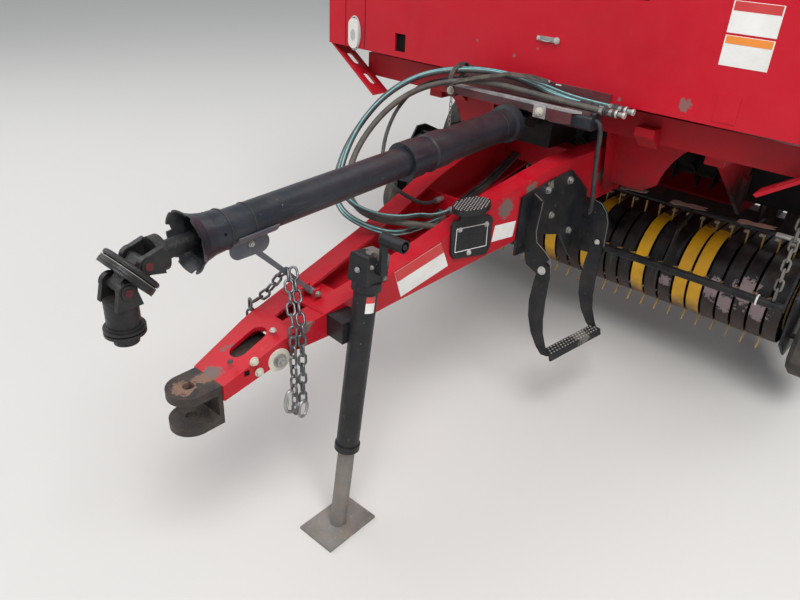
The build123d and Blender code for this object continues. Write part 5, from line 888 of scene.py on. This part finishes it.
# Pickup: square nuts on the bands, straps and bright wear on the windguard's bar, its clip, bolts and chain
BAND_PITCH, BANDS = 65.0, 31
BAND_X = [(number - BANDS // 2) * BAND_PITCH for number in range(BANDS)]
studs("band_nuts", [(mm(x, 410, 640), UP, 0.0135, 0.008) for x in BAND_X if x not in (260.0, -65.0)], 4, "pickup",
      nut_white)
BAR_Z = 737
STRAP = [(0.0, -0.008), (0.022, -0.015), (0.050, -0.008), (0.115, -0.010), (0.150, -0.003), (0.128, 0.002),
         (0.152, 0.010), (0.085, 0.012), (0.070, 0.006), (0.030, 0.013), (0.006, 0.008)]
for number, (x, y, scale, tilt) in enumerate([
        (176, 242, 0.85, 0.20), (414, 246, 1.05, 0.10), (704, 246, 1.0, 0.16), (-160, 246, 0.9, -0.1),
        (-520, 246, 1.0, 0.12)]):
    outlined(f"bar_strap_{number}", [(a * scale, b * scale) for a, b in STRAP], mm(x, y, BAR_Z), (0.0, -0.45, 0.9),
             (1.0, 0.0, tilt), 0.004, "windguard", strap_pink)
tube("bar_bright", [mm(862, 250, 725), mm(1032, 250, 725)], 0.0106, "windguard", bright_steel, order=2)
hoop("tube_clip", mm(913, 30, 525), LEFT, 0.0195, 0.004, "windguard", white_label)
fasteners("arm_bolts", [(mm(side * 1018, 256, 725), (side, 0, 0), 0.009) for side in (-1, 1)], "windguard",
          zinc)
guard_chain = chain_links("windguard_chain_links", [
    (mm(970, 26, 572.4 + 42 * i), UP, BACK if i % 2 else LEFT) for i in range(13)
], "windguard", "zinc", galvanised, length=0.060, width=0.034, wire=0.009)
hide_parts("windguard_chain")

# Both sides: nuts round the wheel's hub and its cap, the door's handle and the gauge wheel's nut
AXLE_Y, AXLE_Z = 1100, 475
for side, name in ((1, "left"), (-1, "right")):
    fasteners(f"wheel_nuts_{name}", [(mm(side * 1060, AXLE_Y + y, AXLE_Z + z), (side, 0, 0), 0.013)
                                     for y, z in ring(78, 8)], f"wheel_{name}", zinc)
    studs(f"hub_cap_{name}", [(mm(side * 1075, AXLE_Y, AXLE_Z), (side, 0, 0), 0.042, 0.018)], 28, f"wheel_{name}",
          dark_grey)
    slab(f"door_handle_{name}", mm(side * 1156, 220, 1330), (side, 0, 0), BACK, (0.150, 0.034, 0.012),
         f"side_door_{name}", plastic, 0.004)
    fasteners(f"gauge_nut_{name}", [(mm(side * 1158, 230, 330), (side, 0, 0), 0.012)], f"gauge_{name}", zinc)

# Floor, world and lights
FLOOR = 30
floor_mesh = bpy.data.meshes.new("floor")
floor_mesh.from_pydata([(-FLOOR, -FLOOR, 0), (FLOOR, -FLOOR, 0), (FLOOR, FLOOR, 0), (-FLOOR, FLOOR, 0)], [],
                       [(0, 1, 2, 3)])
floor = bpy.data.objects.new("floor", floor_mesh)
scene.collection.objects.link(floor)
floor_material = bpy.data.materials.new("floor")
floor_material.use_nodes = True
tree = floor_material.node_tree
shader = tree.nodes["Principled BSDF"]
shader.inputs["Base Color"].default_value = (0.58, 0.565, 0.54, 1.0)
shader.inputs["Roughness"].default_value = 0.9
floor_mesh.materials.append(floor_material)

world = bpy.data.worlds.new("world")
scene.world = world
world.use_nodes = True
tree = world.node_tree
background = tree.nodes["Background"]
background.inputs["Color"].default_value = (0.86, 0.90, 0.95, 1.0)
background.inputs["Strength"].default_value = 0.62


def area_light(name, place, target, size, energy):
    data = bpy.data.lights.new(name, "AREA")
    data.size = size
    data.energy = energy
    shown = bpy.data.objects.new(name, data)
    scene.collection.objects.link(shown)
    shown.location = place
    shown.rotation_euler = (Vector(target) - Vector(place)).to_track_quat("-Z", "Y").to_euler()


area_light("key", (3.0, -3.5, 7.0), (0, -0.5, 0.6), 4.0, 520.0)
area_light("fill", (-5.0, -3.0, 5.0), (0, 0, 1.0), 6.0, 170.0)
area_light("back", (1.0, 6.0, 6.0), (0, 0.5, 1.5), 6.0, 260.0)
